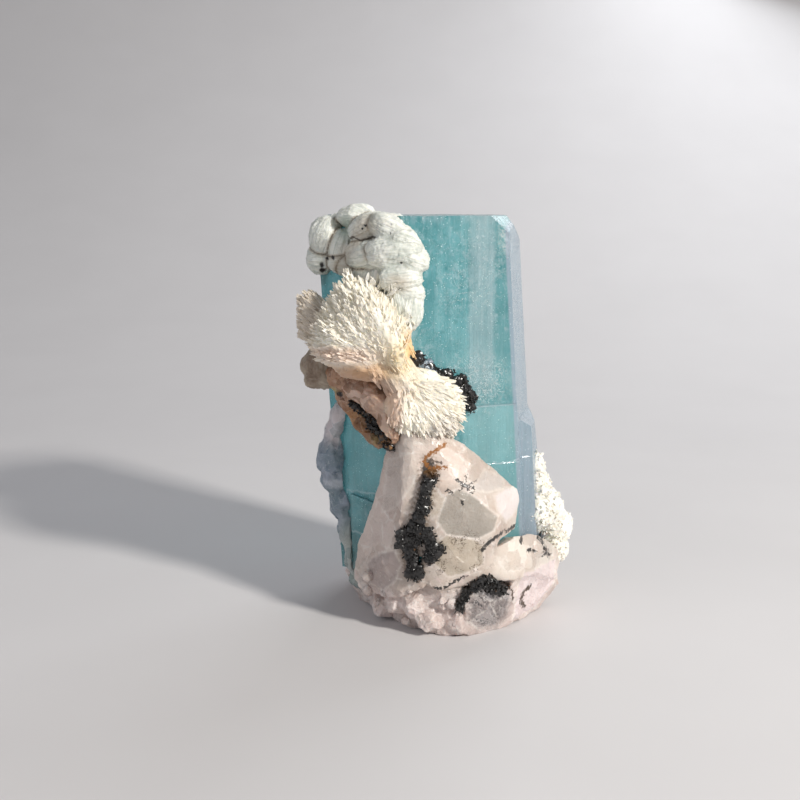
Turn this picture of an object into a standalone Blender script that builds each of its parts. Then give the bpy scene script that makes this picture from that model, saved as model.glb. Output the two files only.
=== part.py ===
"""Aquamarine crystal specimen, modelled at its real size.

A tall hexagonal aquamarine prism stands on quartz and feldspar matrix. Rounded albite lobes
crown its upper left edge, a sheaf of bladed albite crosses its front, and black tourmaline
crusts line the sheaf and the matrix. The origin is under the middle of the specimen, on the
flat cut base. +X is the viewer's right, +Y runs away from the viewer and +Z is up.
"""

import math
import random
from collections import namedtuple

import bmesh
import bpy
from mathutils import Matrix, Vector
from mathutils.bvhtree import BVHTree

MM = 0.001
SPECIMEN = "aquamarine_specimen"

# --- Driving dimensions, in millimetres and degrees ------------------------------------------

CRYSTAL_TOP = 92.0
CRYSTAL_FOOT = 7.0
CRYSTAL_AXIS_X = 1.5
CRYSTAL_AXIS_Y = 1.0
CRYSTAL_LEAN = 0.065
CRYSTAL_TURN = 18.5
APOTHEM = 21.3
LEFT_APOTHEM = 22.1
CLEARANCE = 0.32
WIDE_CLEARANCE = 0.5

SIDE_CRYSTAL_TOP = 45.6
SIDE_CRYSTAL_STEP = 2.4

BASE_Z = 0.0
SURFACE_REACH = 60.0

# Names of the prism's side faces, going round to the right from the front face, with the turn
# of each face from the front face.
FACE_TURNS = {
    "front": 0.0,
    "right": 60.0,
    "back_right": 120.0,
    "back_left": 180.0,
    "left": 240.0,
    "front_left": 300.0,
}

# --- Colours, roughness and metallic ----------------------------------------------------------

FINISHES = {
    "aquamarine": ((0.16, 0.47, 0.52), 0.12, 0.0),
    "white_albite": ((0.72, 0.74, 0.70), 0.45, 0.0),
    "grey_albite": ((0.42, 0.45, 0.38), 0.40, 0.0),
    "cream_albite": ((0.84, 0.77, 0.62), 0.50, 0.0),
    "feldspar": ((0.60, 0.42, 0.33), 0.55, 0.0),
    "tourmaline": ((0.02, 0.02, 0.022), 0.30, 0.0),
    "quartz": ((0.74, 0.66, 0.64), 0.40, 0.0),
    "smoky_quartz": ((0.46, 0.52, 0.56), 0.30, 0.0),
}

Lobe = namedtuple("Lobe", "x y z along out length width depth")


def vector(x, y, z):
    """A point given in millimetres, as metres."""
    return Vector((x, y, z)) * MM


# --- Scene and object helpers -----------------------------------------------------------------


def clear_scene():
    """Remove every object of the open scene."""
    for item in list(bpy.data.objects):
        bpy.data.objects.remove(item, do_unlink=True)


def make_collection(name):
    """Add a collection to the scene."""
    group = bpy.data.collections.new(name)
    bpy.context.scene.collection.children.link(group)
    return group


def make_material(name):
    """Principled material of one of the finishes."""
    colour, roughness, metallic = FINISHES[name]
    material = bpy.data.materials.new(name)
    material.use_nodes = True
    shader = material.node_tree.nodes["Principled BSDF"]
    shader.inputs["Base Color"].default_value = (*colour, 1.0)
    shader.inputs["Roughness"].default_value = roughness
    shader.inputs["Metallic"].default_value = metallic
    material.diffuse_color = (*colour, 1.0)
    return material


def object_from(name, shape, group):
    """Turn a bmesh into an object of the collection and free the bmesh."""
    mesh = bpy.data.meshes.new(name)
    shape.to_mesh(mesh)
    shape.free()
    item = bpy.data.objects.new(name, mesh)
    group.objects.link(item)
    return item


def apply_modifiers(item):
    """Replace an object's mesh by its evaluated mesh."""
    bpy.context.view_layer.update()
    graph = bpy.context.evaluated_depsgraph_get()
    mesh = bpy.data.meshes.new_from_object(item.evaluated_get(graph))
    old = item.data
    item.modifiers.clear()
    item.data = mesh
    bpy.data.meshes.remove(old)


def islands(shape):
    """Lists of the faces of each connected shell of a bmesh."""
    left = set(shape.faces)
    found = []
    while left:
        stack = [left.pop()]
        shell = []
        while stack:
            face = stack.pop()
            shell.append(face)
            for edge in face.edges:
                for other in edge.link_faces:
                    if other in left:
                        left.remove(other)
                        stack.append(other)
        found.append(shell)
    return found


def shell_volume(shell):
    """Signed volume that a closed shell of faces encloses."""
    total = 0.0
    for face in shell:
        corners = [vertex.co for vertex in face.verts]
        for index in range(1, len(corners) - 1):
            total += corners[0].dot(corners[index].cross(corners[index + 1])) / 6.0
    return total


def keep_main_shell(item):
    """Keep the largest shell of a mesh, and triangulate it."""
    shape = bmesh.new()
    shape.from_mesh(item.data)
    shells = sorted(islands(shape), key=shell_volume)
    loose = [face for shell in shells[:-1] for face in shell]
    bmesh.ops.delete(shape, geom=loose, context="FACES")
    bmesh.ops.delete(shape, geom=[v for v in shape.verts if not v.link_faces], context="VERTS")
    bmesh.ops.triangulate(shape, faces=shape.faces[:])
    shape.to_mesh(item.data)
    shape.free()


def boolean(item, operation, other):
    """Apply an exact Boolean with another object, or with a whole collection."""
    modifier = item.modifiers.new(operation.title(), "BOOLEAN")
    modifier.operation = operation
    modifier.solver = "EXACT"
    modifier.use_self = True
    if isinstance(other, bpy.types.Collection):
        modifier.operand_type = "COLLECTION"
        modifier.collection = other
    else:
        modifier.object = other
    apply_modifiers(item)


def grown_copy(item, gap, group):
    """Copy of a solid with its surface moved outwards by a gap in millimetres."""
    copy = item.copy()
    copy.data = item.data.copy()
    copy.name = item.name + "_clearance"
    group.objects.link(copy)
    swell = copy.modifiers.new("Swell", "DISPLACE")
    swell.strength = gap * MM
    swell.mid_level = 0.0
    swell.direction = "NORMAL"
    apply_modifiers(copy)
    copy.hide_render = True
    copy.display_type = "WIRE"
    return copy


def fuse(item, voxel, triangles):
    """Fuse the overlapping lumps of a mesh into one skin and thin it to a number of triangles."""
    skin = item.modifiers.new("Fuse", "REMESH")
    skin.mode = "VOXEL"
    skin.voxel_size = voxel * MM
    apply_modifiers(item)
    keep_main_shell(item)
    thin = item.modifiers.new("Thin", "DECIMATE")
    thin.ratio = min(1.0, triangles / len(item.data.polygons))
    apply_modifiers(item)
    keep_main_shell(item)


# --- Directions on the prism ------------------------------------------------------------------


def face_normal(name):
    """Unit normal of a side face of the prism."""
    turn = math.radians(CRYSTAL_TURN + FACE_TURNS[name])
    return Vector((math.sin(turn), -math.cos(turn), 0.0))


def axis_point(z):
    """Point of the prism's axis at a height in millimetres."""
    return vector(CRYSTAL_AXIS_X - CRYSTAL_LEAN * z, CRYSTAL_AXIS_Y, z)


def side_plane(name, distance):
    """Point and normal of a side face that leans with the prism's axis."""
    flat = face_normal(name)
    leaning = Vector((flat.x, flat.y, CRYSTAL_LEAN * flat.x)).normalized()
    return axis_point(0.0) + flat * distance * MM, leaning


def apothem(name):
    """Distance of a side face from the prism's axis."""
    return LEFT_APOTHEM if name == "left" else APOTHEM


# --- Shape builders ---------------------------------------------------------------------------


def cut_block(planes):
    """Start from a large cube and keep the side of each plane that its normal points away from."""
    shape = bmesh.new()
    bmesh.ops.create_cube(shape, size=300 * MM)
    for point, normal in planes:
        cut = bmesh.ops.bisect_plane(
            shape,
            geom=shape.verts[:] + shape.edges[:] + shape.faces[:],
            dist=1e-7,
            plane_co=point,
            plane_no=normal,
            clear_outer=True,
        )
        rim = [part for part in cut["geom_cut"] if isinstance(part, bmesh.types.BMEdge)]
        if rim:
            bmesh.ops.edgenet_fill(shape, edges=rim)
    bmesh.ops.recalc_face_normals(shape, faces=shape.faces[:])
    return shape


def hull_block(points):
    """Convex block with flat faces through corner points given in millimetres."""
    shape = bmesh.new()
    for point in points:
        shape.verts.new(vector(*point))
    hull = bmesh.ops.convex_hull(shape, input=shape.verts[:])
    spare = [part for part in hull["geom_interior"] if isinstance(part, bmesh.types.BMVert)]
    bmesh.ops.delete(shape, geom=spare, context="VERTS")
    bmesh.ops.recalc_face_normals(shape, faces=shape.faces[:])
    return shape


def orientation(along, out):
    """Rotation whose X axis runs along one direction and whose Z axis faces another."""
    first = Vector(along).normalized()
    third = Vector(out)
    third = (third - first * third.dot(first)).normalized()
    second = third.cross(first)
    return Matrix((first, second, third)).transposed().to_4x4()


def add_lobe(shape, lobe, rounds=2):
    """Add an ellipsoid of the lobe's length, width and depth."""
    size = Matrix.Diagonal((lobe.length / 2 * MM, lobe.width / 2 * MM, lobe.depth / 2 * MM, 1.0))
    place = Matrix.Translation(vector(lobe.x, lobe.y, lobe.z)) @ orientation(lobe.along, lobe.out)
    bmesh.ops.create_icosphere(shape, subdivisions=rounds, radius=1.0, matrix=place @ size)


def add_blade(shape, root, tip, out, width, thickness):
    """Add a flat six-sided blade that widens from its root and narrows to its tip."""
    start = Vector(root) * MM
    end = Vector(tip) * MM
    length = (end - start).length
    shoulder = 0.68 * length
    turn = orientation(end - start, out)
    stand = Matrix.Rotation(math.radians(90), 4, "Y")
    flat = Matrix.Diagonal((1.0, 1.0, thickness / width, 1.0))
    for low, high, near, far in (
        (0.0, shoulder, 0.3, 0.5),
        (shoulder, length, 0.5, 0.06),
    ):
        middle = start + (end - start) * ((low + high) / 2 / length)
        bmesh.ops.create_cone(
            shape,
            cap_ends=True,
            cap_tris=False,
            segments=6,
            radius1=near * width * MM,
            radius2=far * width * MM,
            depth=(high - low) * 1.02,
            matrix=Matrix.Translation(middle) @ turn @ flat @ stand,
        )


def surface_depth(tree, x, z):
    """Y of the foremost surface of a solid seen at x and z, all in millimetres."""
    start = vector(x, -SURFACE_REACH, z)
    hit = tree.ray_cast(start, Vector((0.0, 1.0, 0.0)))
    return hit[0].y / MM if hit[0] else None


def surface_tree(item):
    """Search tree of an object's surface."""
    graph = bpy.context.evaluated_depsgraph_get()
    return BVHTree.FromObject(item, graph)


def path_points(stops, step):
    """Points at an even step along straight runs between stops of (x, z)."""
    points = []
    for (x1, z1), (x2, z2) in zip(stops, stops[1:]):
        count = max(1, round(math.dist((x1, z1), (x2, z2)) / step))
        for index in range(count):
            share = index / count
            points.append((x1 + (x2 - x1) * share, z1 + (z2 - z1) * share))
    points.append(stops[-1])
    return points


# --- Aquamarine ---------------------------------------------------------------------------------

# Chips broken off the rims, as a point in millimetres and the direction that each chip faces.
CHIPS = (
    ((13.0, -14.6, 89.8), (0.75, -0.25, 0.75)),
    ((16.2, 2.0, 90.2), (0.80, 0.0, 0.60)),
    ((12.0, 19.0, 90.6), (0.40, 0.75, 0.60)),
    ((-14.0, 19.6, 90.8), (-0.35, 0.80, 0.55)),
    ((-25.0, -6.5, 88.5), (-0.75, -0.30, 0.60)),
    ((-22.2, -6.2, 13.6), (-0.80, -0.15, -0.58)),
)

# Low growth plates on the faces: face, height of foot and head, left and right edge across the
# face, and how far the plate stands proud.
GROWTH_PLATES = (
    ("front_left", 9.0, 27.5, -9.5, 2.5, 0.8),
    ("back_left", 10.0, 58.0, -9.0, 4.0, 0.8),
    ("back_right", 8.0, 71.0, -6.5, 6.0, 0.7),
    ("left", 10.0, 44.0, -4.0, 10.0, 0.7),
)


# Sloping top facets of the side crystal, as a point and the direction that each faces.
SIDE_CRYSTAL_HEAD = (
    ((21.8, 8.7, SIDE_CRYSTAL_TOP), (0.55, -0.10, 0.83)),
    ((22.2, 8.7, SIDE_CRYSTAL_TOP), (1.0, 0.0, 0.16)),
)


def crystal_planes(gap):
    """Planes of the main prism, moved outwards by a gap."""
    planes = [side_plane(name, apothem(name) + gap) for name in FACE_TURNS]
    planes.append((axis_point(CRYSTAL_TOP + gap), Vector((0.0, 0.0, 1.0))))
    planes.append((axis_point(CRYSTAL_FOOT - gap), Vector((0.0, 0.0, -1.0))))
    for point, facing in CHIPS:
        normal = Vector(facing).normalized()
        planes.append((vector(*point) + normal * gap * MM, normal))
    return planes


def side_crystal_planes(gap):
    """Planes of the smaller parallel crystal low on the right."""
    step = SIDE_CRYSTAL_STEP
    planes = [
        side_plane("front", APOTHEM - 4.5 + gap),
        side_plane("right", APOTHEM + step + gap),
        side_plane("back_right", APOTHEM + step - 0.4 + gap),
        side_plane("back_left", APOTHEM - 6.0 + gap),
        side_plane("left", gap),
    ]
    for point, facing in SIDE_CRYSTAL_HEAD:
        normal = Vector(facing).normalized()
        planes.append((vector(*point) + normal * gap * MM, normal))
    planes.append((axis_point(CRYSTAL_FOOT + 0.5 - gap), Vector((0.0, 0.0, -1.0))))
    return planes


def plate_planes(face, foot, head, left, right, proud, gap):
    """Planes of one growth plate on a face of the prism."""
    normal = face_normal(face)
    across = Vector((-normal.y, normal.x, 0.0))
    outer = side_plane(face, apothem(face) + proud + gap)
    inner = side_plane(face, apothem(face) - 3.0)
    slant = Vector((across.x * 0.12, across.y * 0.12, 1.0)).normalized()
    return [
        outer,
        (inner[0], -inner[1]),
        (axis_point(head + gap), slant),
        (axis_point(foot - gap), -slant),
        (axis_point(0.0) + across * (right + gap) * MM, across),
        (axis_point(0.0) + across * (left - gap) * MM, -across),
    ]


def build_crystal(name, gap, group):
    """The prism with its side crystal and growth plates, swollen by a gap."""
    crystal = object_from(name, cut_block(crystal_planes(gap)), group)
    extras = make_collection(name + "_extras")
    object_from(name + "_side", cut_block(side_crystal_planes(gap)), extras)
    for index, plate in enumerate(GROWTH_PLATES):
        shape = cut_block(plate_planes(*plate, gap))
        object_from(f"{name}_plate_{index}", shape, extras)
    boolean(crystal, "UNION", extras)
    discard(extras)
    keep_main_shell(crystal)
    return crystal


def discard(group):
    """Remove a collection with its objects."""
    for item in list(group.objects):
        bpy.data.objects.remove(item, do_unlink=True)
    bpy.data.collections.remove(group)


# --- Quartz and feldspar matrix -------------------------------------------------------------------

# Corner points of the convex blocks that the matrix has grown together from.
PEAK_BLOCK = (
    (-8.9, -25.0, 46.5), (-6.3, -25.6, 48.0), (-3.0, -24.6, 47.6), (4.7, -21.8, 42.5),
    (11.6, -19.5, 36.2), (16.8, -17.4, 31.4), (17.4, -17.2, 28.6), (16.4, -18.2, 22.5),
    (-12.6, -21.4, 41.8), (-14.0, -20.6, 34.3), (-7.2, -27.3, 39.5), (0.2, -26.8, 40.4),
    (2.6, -27.4, 35.5), (7.6, -26.6, 32.2), (11.9, -25.0, 27.0), (11.4, -25.8, 21.0),
    (-1.4, -28.8, 26.0), (-2.6, -28.4, 31.5), (-9.0, -27.6, 31.5), (-1.0, -28.4, 18.0),
    (-10.0, -26.8, 20.0), (-8.0, -12.0, 38.0), (4.0, -10.0, 34.0), (14.0, -8.0, 22.0),
    (-12.0, -12.0, 20.0),
)
LEFT_BLOCK = (
    (-14.0, -20.4, 34.0), (-15.9, -19.0, 27.0), (-19.0, -16.4, 18.3), (-20.4, -13.4, 9.5),
    (-17.6, -17.6, 7.0), (-10.0, -27.0, 19.0), (-9.4, -27.4, 27.0), (-9.6, -26.0, 9.0),
    (-4.0, -27.6, 12.0), (-8.0, -10.0, 24.0), (-10.0, -8.0, 5.0), (-13.6, -24.4, 17.0),
)
CENTRE_BLOCK = (
    (-2.0, -28.6, 25.0), (10.8, -25.8, 23.0), (13.8, -22.6, 16.0), (8.0, -27.0, 12.5),
    (-1.0, -28.2, 11.5), (-6.5, -27.0, 14.0), (4.0, -28.2, 17.0), (0.0, -12.0, 20.0),
    (12.0, -10.0, 10.0), (-4.0, -10.0, 6.0),
)
RIGHT_BLOCK = (
    (10.2, -25.2, 19.5), (16.2, -20.6, 21.4), (20.2, -15.4, 20.6), (24.2, -9.4, 17.6),
    (28.4, -4.6, 12.9), (28.6, -4.4, 9.6), (26.8, -8.4, 7.6), (21.2, -17.2, 11.8),
    (14.9, -23.2, 12.0), (10.0, -25.8, 12.6), (10.0, -6.0, 16.0), (22.0, 2.0, 12.0),
    (12.0, 0.0, 3.0),
)
RIGHT_FOOT_BLOCK = (
    (17.6, -20.0, 13.0), (27.6, -6.6, 8.8), (28.4, -5.4, 5.2), (23.8, -8.2, 0.0),
    (17.8, -16.8, -0.5), (15.0, -20.4, 0.2), (13.6, -23.8, 8.0), (8.0, -8.0, 8.0),
    (20.0, 4.0, 2.0), (6.0, -6.0, -1.0),
)
FOOT_BLOCK = (
    (5.6, -26.8, 11.6), (8.4, -27.2, 13.6), (12.0, -25.6, 11.6), (15.2, -21.6, 9.0),
    (15.2, -20.0, -0.6), (10.4, -22.6, -1.0), (5.8, -25.4, -1.0), (4.6, -27.4, 7.6),
    (4.0, -10.0, 6.0), (2.0, -12.0, -1.0),
)
DRUSE_BLOCK = (
    (-14.2, -15.8, 8.4), (-10.2, -21.6, 10.4), (-5.8, -25.6, 14.0), (-1.0, -27.4, 14.0),
    (4.8, -27.0, 13.0), (5.4, -24.4, -1.0), (1.6, -25.6, -1.0), (-3.0, -24.2, -1.0),
    (-8.6, -18.4, -1.0), (-12.6, -11.6, -1.0), (0.0, -8.0, 12.0), (-6.0, -4.0, -1.0),
)
BASE_BLOCK = (
    (-14.0, -14.0, 9.0), (-21.6, -7.4, 8.8), (-22.8, 2.0, 11.6), (-23.6, 9.0, 15.0),
    (-21.4, 15.4, 15.6), (-13.0, 23.0, 16.6), (2.0, 27.6, 14.6), (14.0, 25.0, 15.6),
    (23.6, 16.0, 14.0), (26.0, 9.6, 11.6), (25.0, 4.0, 13.0), (22.0, -8.0, 13.0),
    (8.0, -18.0, 10.0),
    (-13.0, -12.0, -1.0), (-19.0, -2.0, -1.0), (-20.5, 10.0, -1.0), (-12.0, 22.0, -1.0),
    (2.0, 25.0, -1.0), (14.0, 22.5, -1.0), (22.0, 14.0, -1.0), (23.5, 2.0, -1.0),
    (18.0, -14.0, -1.0), (4.0, -22.0, -1.0),
)
BACK_BLOCK = (
    (-14.0, 20.5, 14.0), (-6.0, 25.0, 22.0), (-3.0, 23.0, 25.5), (5.0, 24.0, 22.0),
    (9.0, 27.8, 12.0), (-2.0, 30.4, 11.0), (-12.0, 26.4, 8.0), (-3.0, 14.0, 20.0),
    (-2.0, 29.0, 3.0), (8.0, 26.6, -1.0), (-10.0, 24.0, -1.0), (0.0, 10.0, 4.0),
)
BACK_RIGHT_BLOCK = (
    (8.0, 25.0, 12.0), (13.0, 24.0, 20.0), (18.0, 20.0, 21.0), (23.0, 14.0, 14.0),
    (21.0, 19.6, 6.0), (16.0, 24.6, 4.0), (10.0, 27.0, 2.0), (10.0, 10.0, 16.0),
    (20.0, 17.0, -1.0), (12.0, 24.0, -1.0), (6.0, 8.0, 2.0),
)
MATRIX_BLOCKS = (
    PEAK_BLOCK, LEFT_BLOCK, CENTRE_BLOCK, RIGHT_BLOCK, RIGHT_FOOT_BLOCK, FOOT_BLOCK, DRUSE_BLOCK,
    BASE_BLOCK, BACK_BLOCK, BACK_RIGHT_BLOCK,
)

# Small blunt crystals on the lower rim: centre, and size across.
RIM_LUMPS = (
    (-10.2, -20.6, 6.4, 7.4), (-13.2, -15.2, 3.6, 7.0), (-6.4, -23.6, 6.6, 7.0),
    (-2.8, -24.8, 3.6, 7.0), (0.8, -25.0, 7.4, 6.6), (3.4, -24.6, 2.8, 6.6),
    (-12.0, -19.2, 12.0, 6.6), (-15.8, -11.6, 7.4, 7.0), (-16.6, -6.0, 3.4, 7.2),
    (-17.4, 3.0, 4.0, 7.6), (-18.2, 10.6, 6.4, 8.0), (-14.6, 17.6, 5.0, 8.6),
    (-20.4, 6.8, 13.0, 8.0), (-16.8, 16.4, 14.0, 8.4), (-8.6, 23.4, 6.0, 8.6),
    (-0.6, 25.2, 6.6, 8.2), (6.6, 24.4, 4.4, 8.6),
    (13.6, 22.4, 7.0, 8.6), (20.0, 16.2, 7.0, 9.0), (22.6, 8.6, 4.6, 8.8),
    (22.8, 1.0, 5.6, 8.0), (14.0, -19.6, 15.6, 7.0), (20.6, -12.8, 15.8, 7.4),
    (9.2, -22.9, 15.6, 6.8), (-6.4, -19.4, 2.6, 7.0), (24.6, -6.6, 12.8, 6.6),
)


def add_blunt_crystal(shape, place, size, dice):
    """Add a small six-sided crystal stub with a low cap, turned by seeded dice."""
    turn = Matrix.Rotation(dice.uniform(0, math.tau), 4, Vector((0, 0, 1)))
    lean = Matrix.Rotation(dice.uniform(-0.7, 0.7), 4, Vector((1, 0, 0)))
    tip = Matrix.Rotation(dice.uniform(-0.7, 0.7), 4, Vector((0, 1, 0)))
    squash = Matrix.Diagonal((1.0, dice.uniform(0.8, 1.1), dice.uniform(0.8, 1.15), 1.0))
    bmesh.ops.create_icosphere(
        shape,
        subdivisions=1,
        radius=size / 2 * MM,
        matrix=Matrix.Translation(vector(*place)) @ turn @ lean @ tip @ squash,
    )


def build_matrix(group, crystal_room):
    """Faceted blocks and rim lumps grown together, cut flat underneath, round the prism."""
    matrix = object_from("quartz_matrix", hull_block(MATRIX_BLOCKS[0]), group)
    extras = make_collection("matrix_extras")
    for index, block in enumerate(MATRIX_BLOCKS[1:]):
        object_from(f"block_{index}", hull_block(block), extras)
    dice = random.Random(11)
    for index, (x, y, z, size) in enumerate(RIM_LUMPS):
        shape = bmesh.new()
        add_blunt_crystal(shape, (x, y, z), size, dice)
        object_from(f"lump_{index}", shape, extras)
    boolean(matrix, "UNION", extras)
    discard(extras)
    floor_cut = bmesh.new()
    bmesh.ops.create_cube(
        floor_cut,
        size=100 * MM,
        matrix=Matrix.Translation(vector(0.0, 0.0, BASE_Z - 50.0)),
    )
    extras = make_collection("floor_cut")
    boolean(matrix, "DIFFERENCE", object_from("below_base", floor_cut, extras))
    discard(extras)
    boolean(matrix, "DIFFERENCE", crystal_room)
    keep_main_shell(matrix)
    return matrix


# --- Feldspar, flank quartz and albite lumps ------------------------------------------------------

TOWARD_LEFT_FACE = (-0.66, -0.75, 0.0)
TOWARD_VIEWER = (0.0, -1.0, 0.0)

FELDSPAR_LOBES = (
    Lobe(-22.4, -12.2, 56.0, (0.8, -0.5, -0.3), TOWARD_LEFT_FACE, 9.0, 7.6, 6.4),
    Lobe(-17.8, -16.8, 55.2, (0.7, -0.6, -0.3), TOWARD_LEFT_FACE, 10.5, 8.8, 8.4),
    Lobe(-14.2, -20.4, 52.4, (0.6, -0.5, -0.6), TOWARD_LEFT_FACE, 10.0, 8.4, 8.0),
    Lobe(-11.6, -22.6, 47.6, (0.3, -0.2, -0.9), TOWARD_LEFT_FACE, 10.0, 6.4, 6.6),
    Lobe(-21.2, -12.8, 50.8, (0.6, -0.5, -0.6), TOWARD_LEFT_FACE, 8.5, 5.6, 4.8),
    Lobe(-18.4, -15.6, 46.6, (0.55, -0.45, -0.7), TOWARD_LEFT_FACE, 8.0, 4.2, 3.8),
    Lobe(-15.4, -18.2, 43.2, (0.6, -0.5, -0.6), TOWARD_LEFT_FACE, 6.6, 3.4, 3.6),
    Lobe(-7.0, -23.8, 61.8, (0.2, 0.2, 0.9), TOWARD_VIEWER, 6.0, 4.4, 3.6),
)
HOLLOW = Lobe(-15.1, -21.8, 47.2, (0.62, -0.55, -0.62), TOWARD_LEFT_FACE, 12.5, 3.2, 7.4)

NODULE_LOBES = (
    Lobe(-28.2, -6.4, 57.6, (0.0, 0.0, 1.0), (-0.5, -1.0, 0.0), 7.6, 6.4, 4.4),
    Lobe(-30.5, -6.4, 57.8, (0.0, 0.0, 1.0), (-0.3, -1.0, 0.1), 5.2, 4.4, 3.6),
    Lobe(-29.5, -6.6, 54.6, (1.0, 0.0, 0.0), (-0.3, -1.0, -0.2), 4.8, 4.4, 3.6),
    Lobe(-26.6, -7.2, 54.8, (1.0, 0.0, 0.0), (-0.5, -1.0, 0.0), 5.0, 4.6, 3.4),
    Lobe(-28.8, -6.2, 60.2, (1.0, 0.0, 0.3), (-0.3, -1.0, 0.2), 4.6, 4.0, 3.4),
)

FLANK_LOBES = (
    Lobe(-23.6, -8.4, 46.6, (0.2, 0.0, 1.0), TOWARD_LEFT_FACE, 9.5, 5.4, 3.2),
    Lobe(-24.8, -6.8, 41.4, (-0.3, 0.1, 1.0), TOWARD_LEFT_FACE, 8.0, 5.0, 4.2),
    Lobe(-25.6, -6.8, 36.4, (0.1, 0.0, 1.0), TOWARD_LEFT_FACE, 11.0, 8.0, 6.2),
    Lobe(-25.0, -6.2, 30.8, (-0.3, 0.0, 1.0), TOWARD_LEFT_FACE, 8.0, 7.4, 5.6),
    Lobe(-22.9, -7.2, 25.4, (0.1, 0.0, 1.0), TOWARD_LEFT_FACE, 8.0, 6.4, 5.0),
    Lobe(-21.6, -7.8, 19.6, (0.1, 0.0, 1.0), TOWARD_LEFT_FACE, 9.0, 5.6, 4.6),
    Lobe(-20.4, -8.0, 13.4, (0.2, 0.0, 1.0), TOWARD_LEFT_FACE, 9.0, 5.4, 4.6),
    Lobe(-19.2, -8.2, 8.0, (0.2, 0.0, 1.0), TOWARD_LEFT_FACE, 6.0, 5.2, 4.4),
    Lobe(-24.4, -1.8, 36.0, (0.0, -0.3, 1.0), (-1.0, 0.2, 0.0), 13.0, 7.0, 4.6),
    Lobe(-24.2, -1.2, 26.0, (0.0, 0.2, 1.0), (-1.0, 0.2, 0.0), 13.0, 8.0, 4.8),
    Lobe(-23.6, 3.8, 30.0, (0.0, 0.3, 1.0), (-1.0, 0.2, 0.0), 11.0, 7.0, 4.4),
    Lobe(-22.4, 4.6, 20.0, (0.0, -0.2, 1.0), (-1.0, 0.2, 0.0), 12.0, 9.0, 4.6),
    Lobe(-21.8, -1.0, 16.0, (0.0, 0.3, 1.0), (-1.0, 0.2, 0.0), 11.0, 8.0, 4.6),
    Lobe(-21.6, 9.6, 18.0, (0.0, 0.5, 1.0), (-1.0, 0.3, 0.0), 9.0, 7.0, 4.4),
    Lobe(-23.0, 9.0, 26.0, (0.0, 0.5, 1.0), (-1.0, 0.3, 0.0), 7.0, 5.0, 3.6),
)

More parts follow.
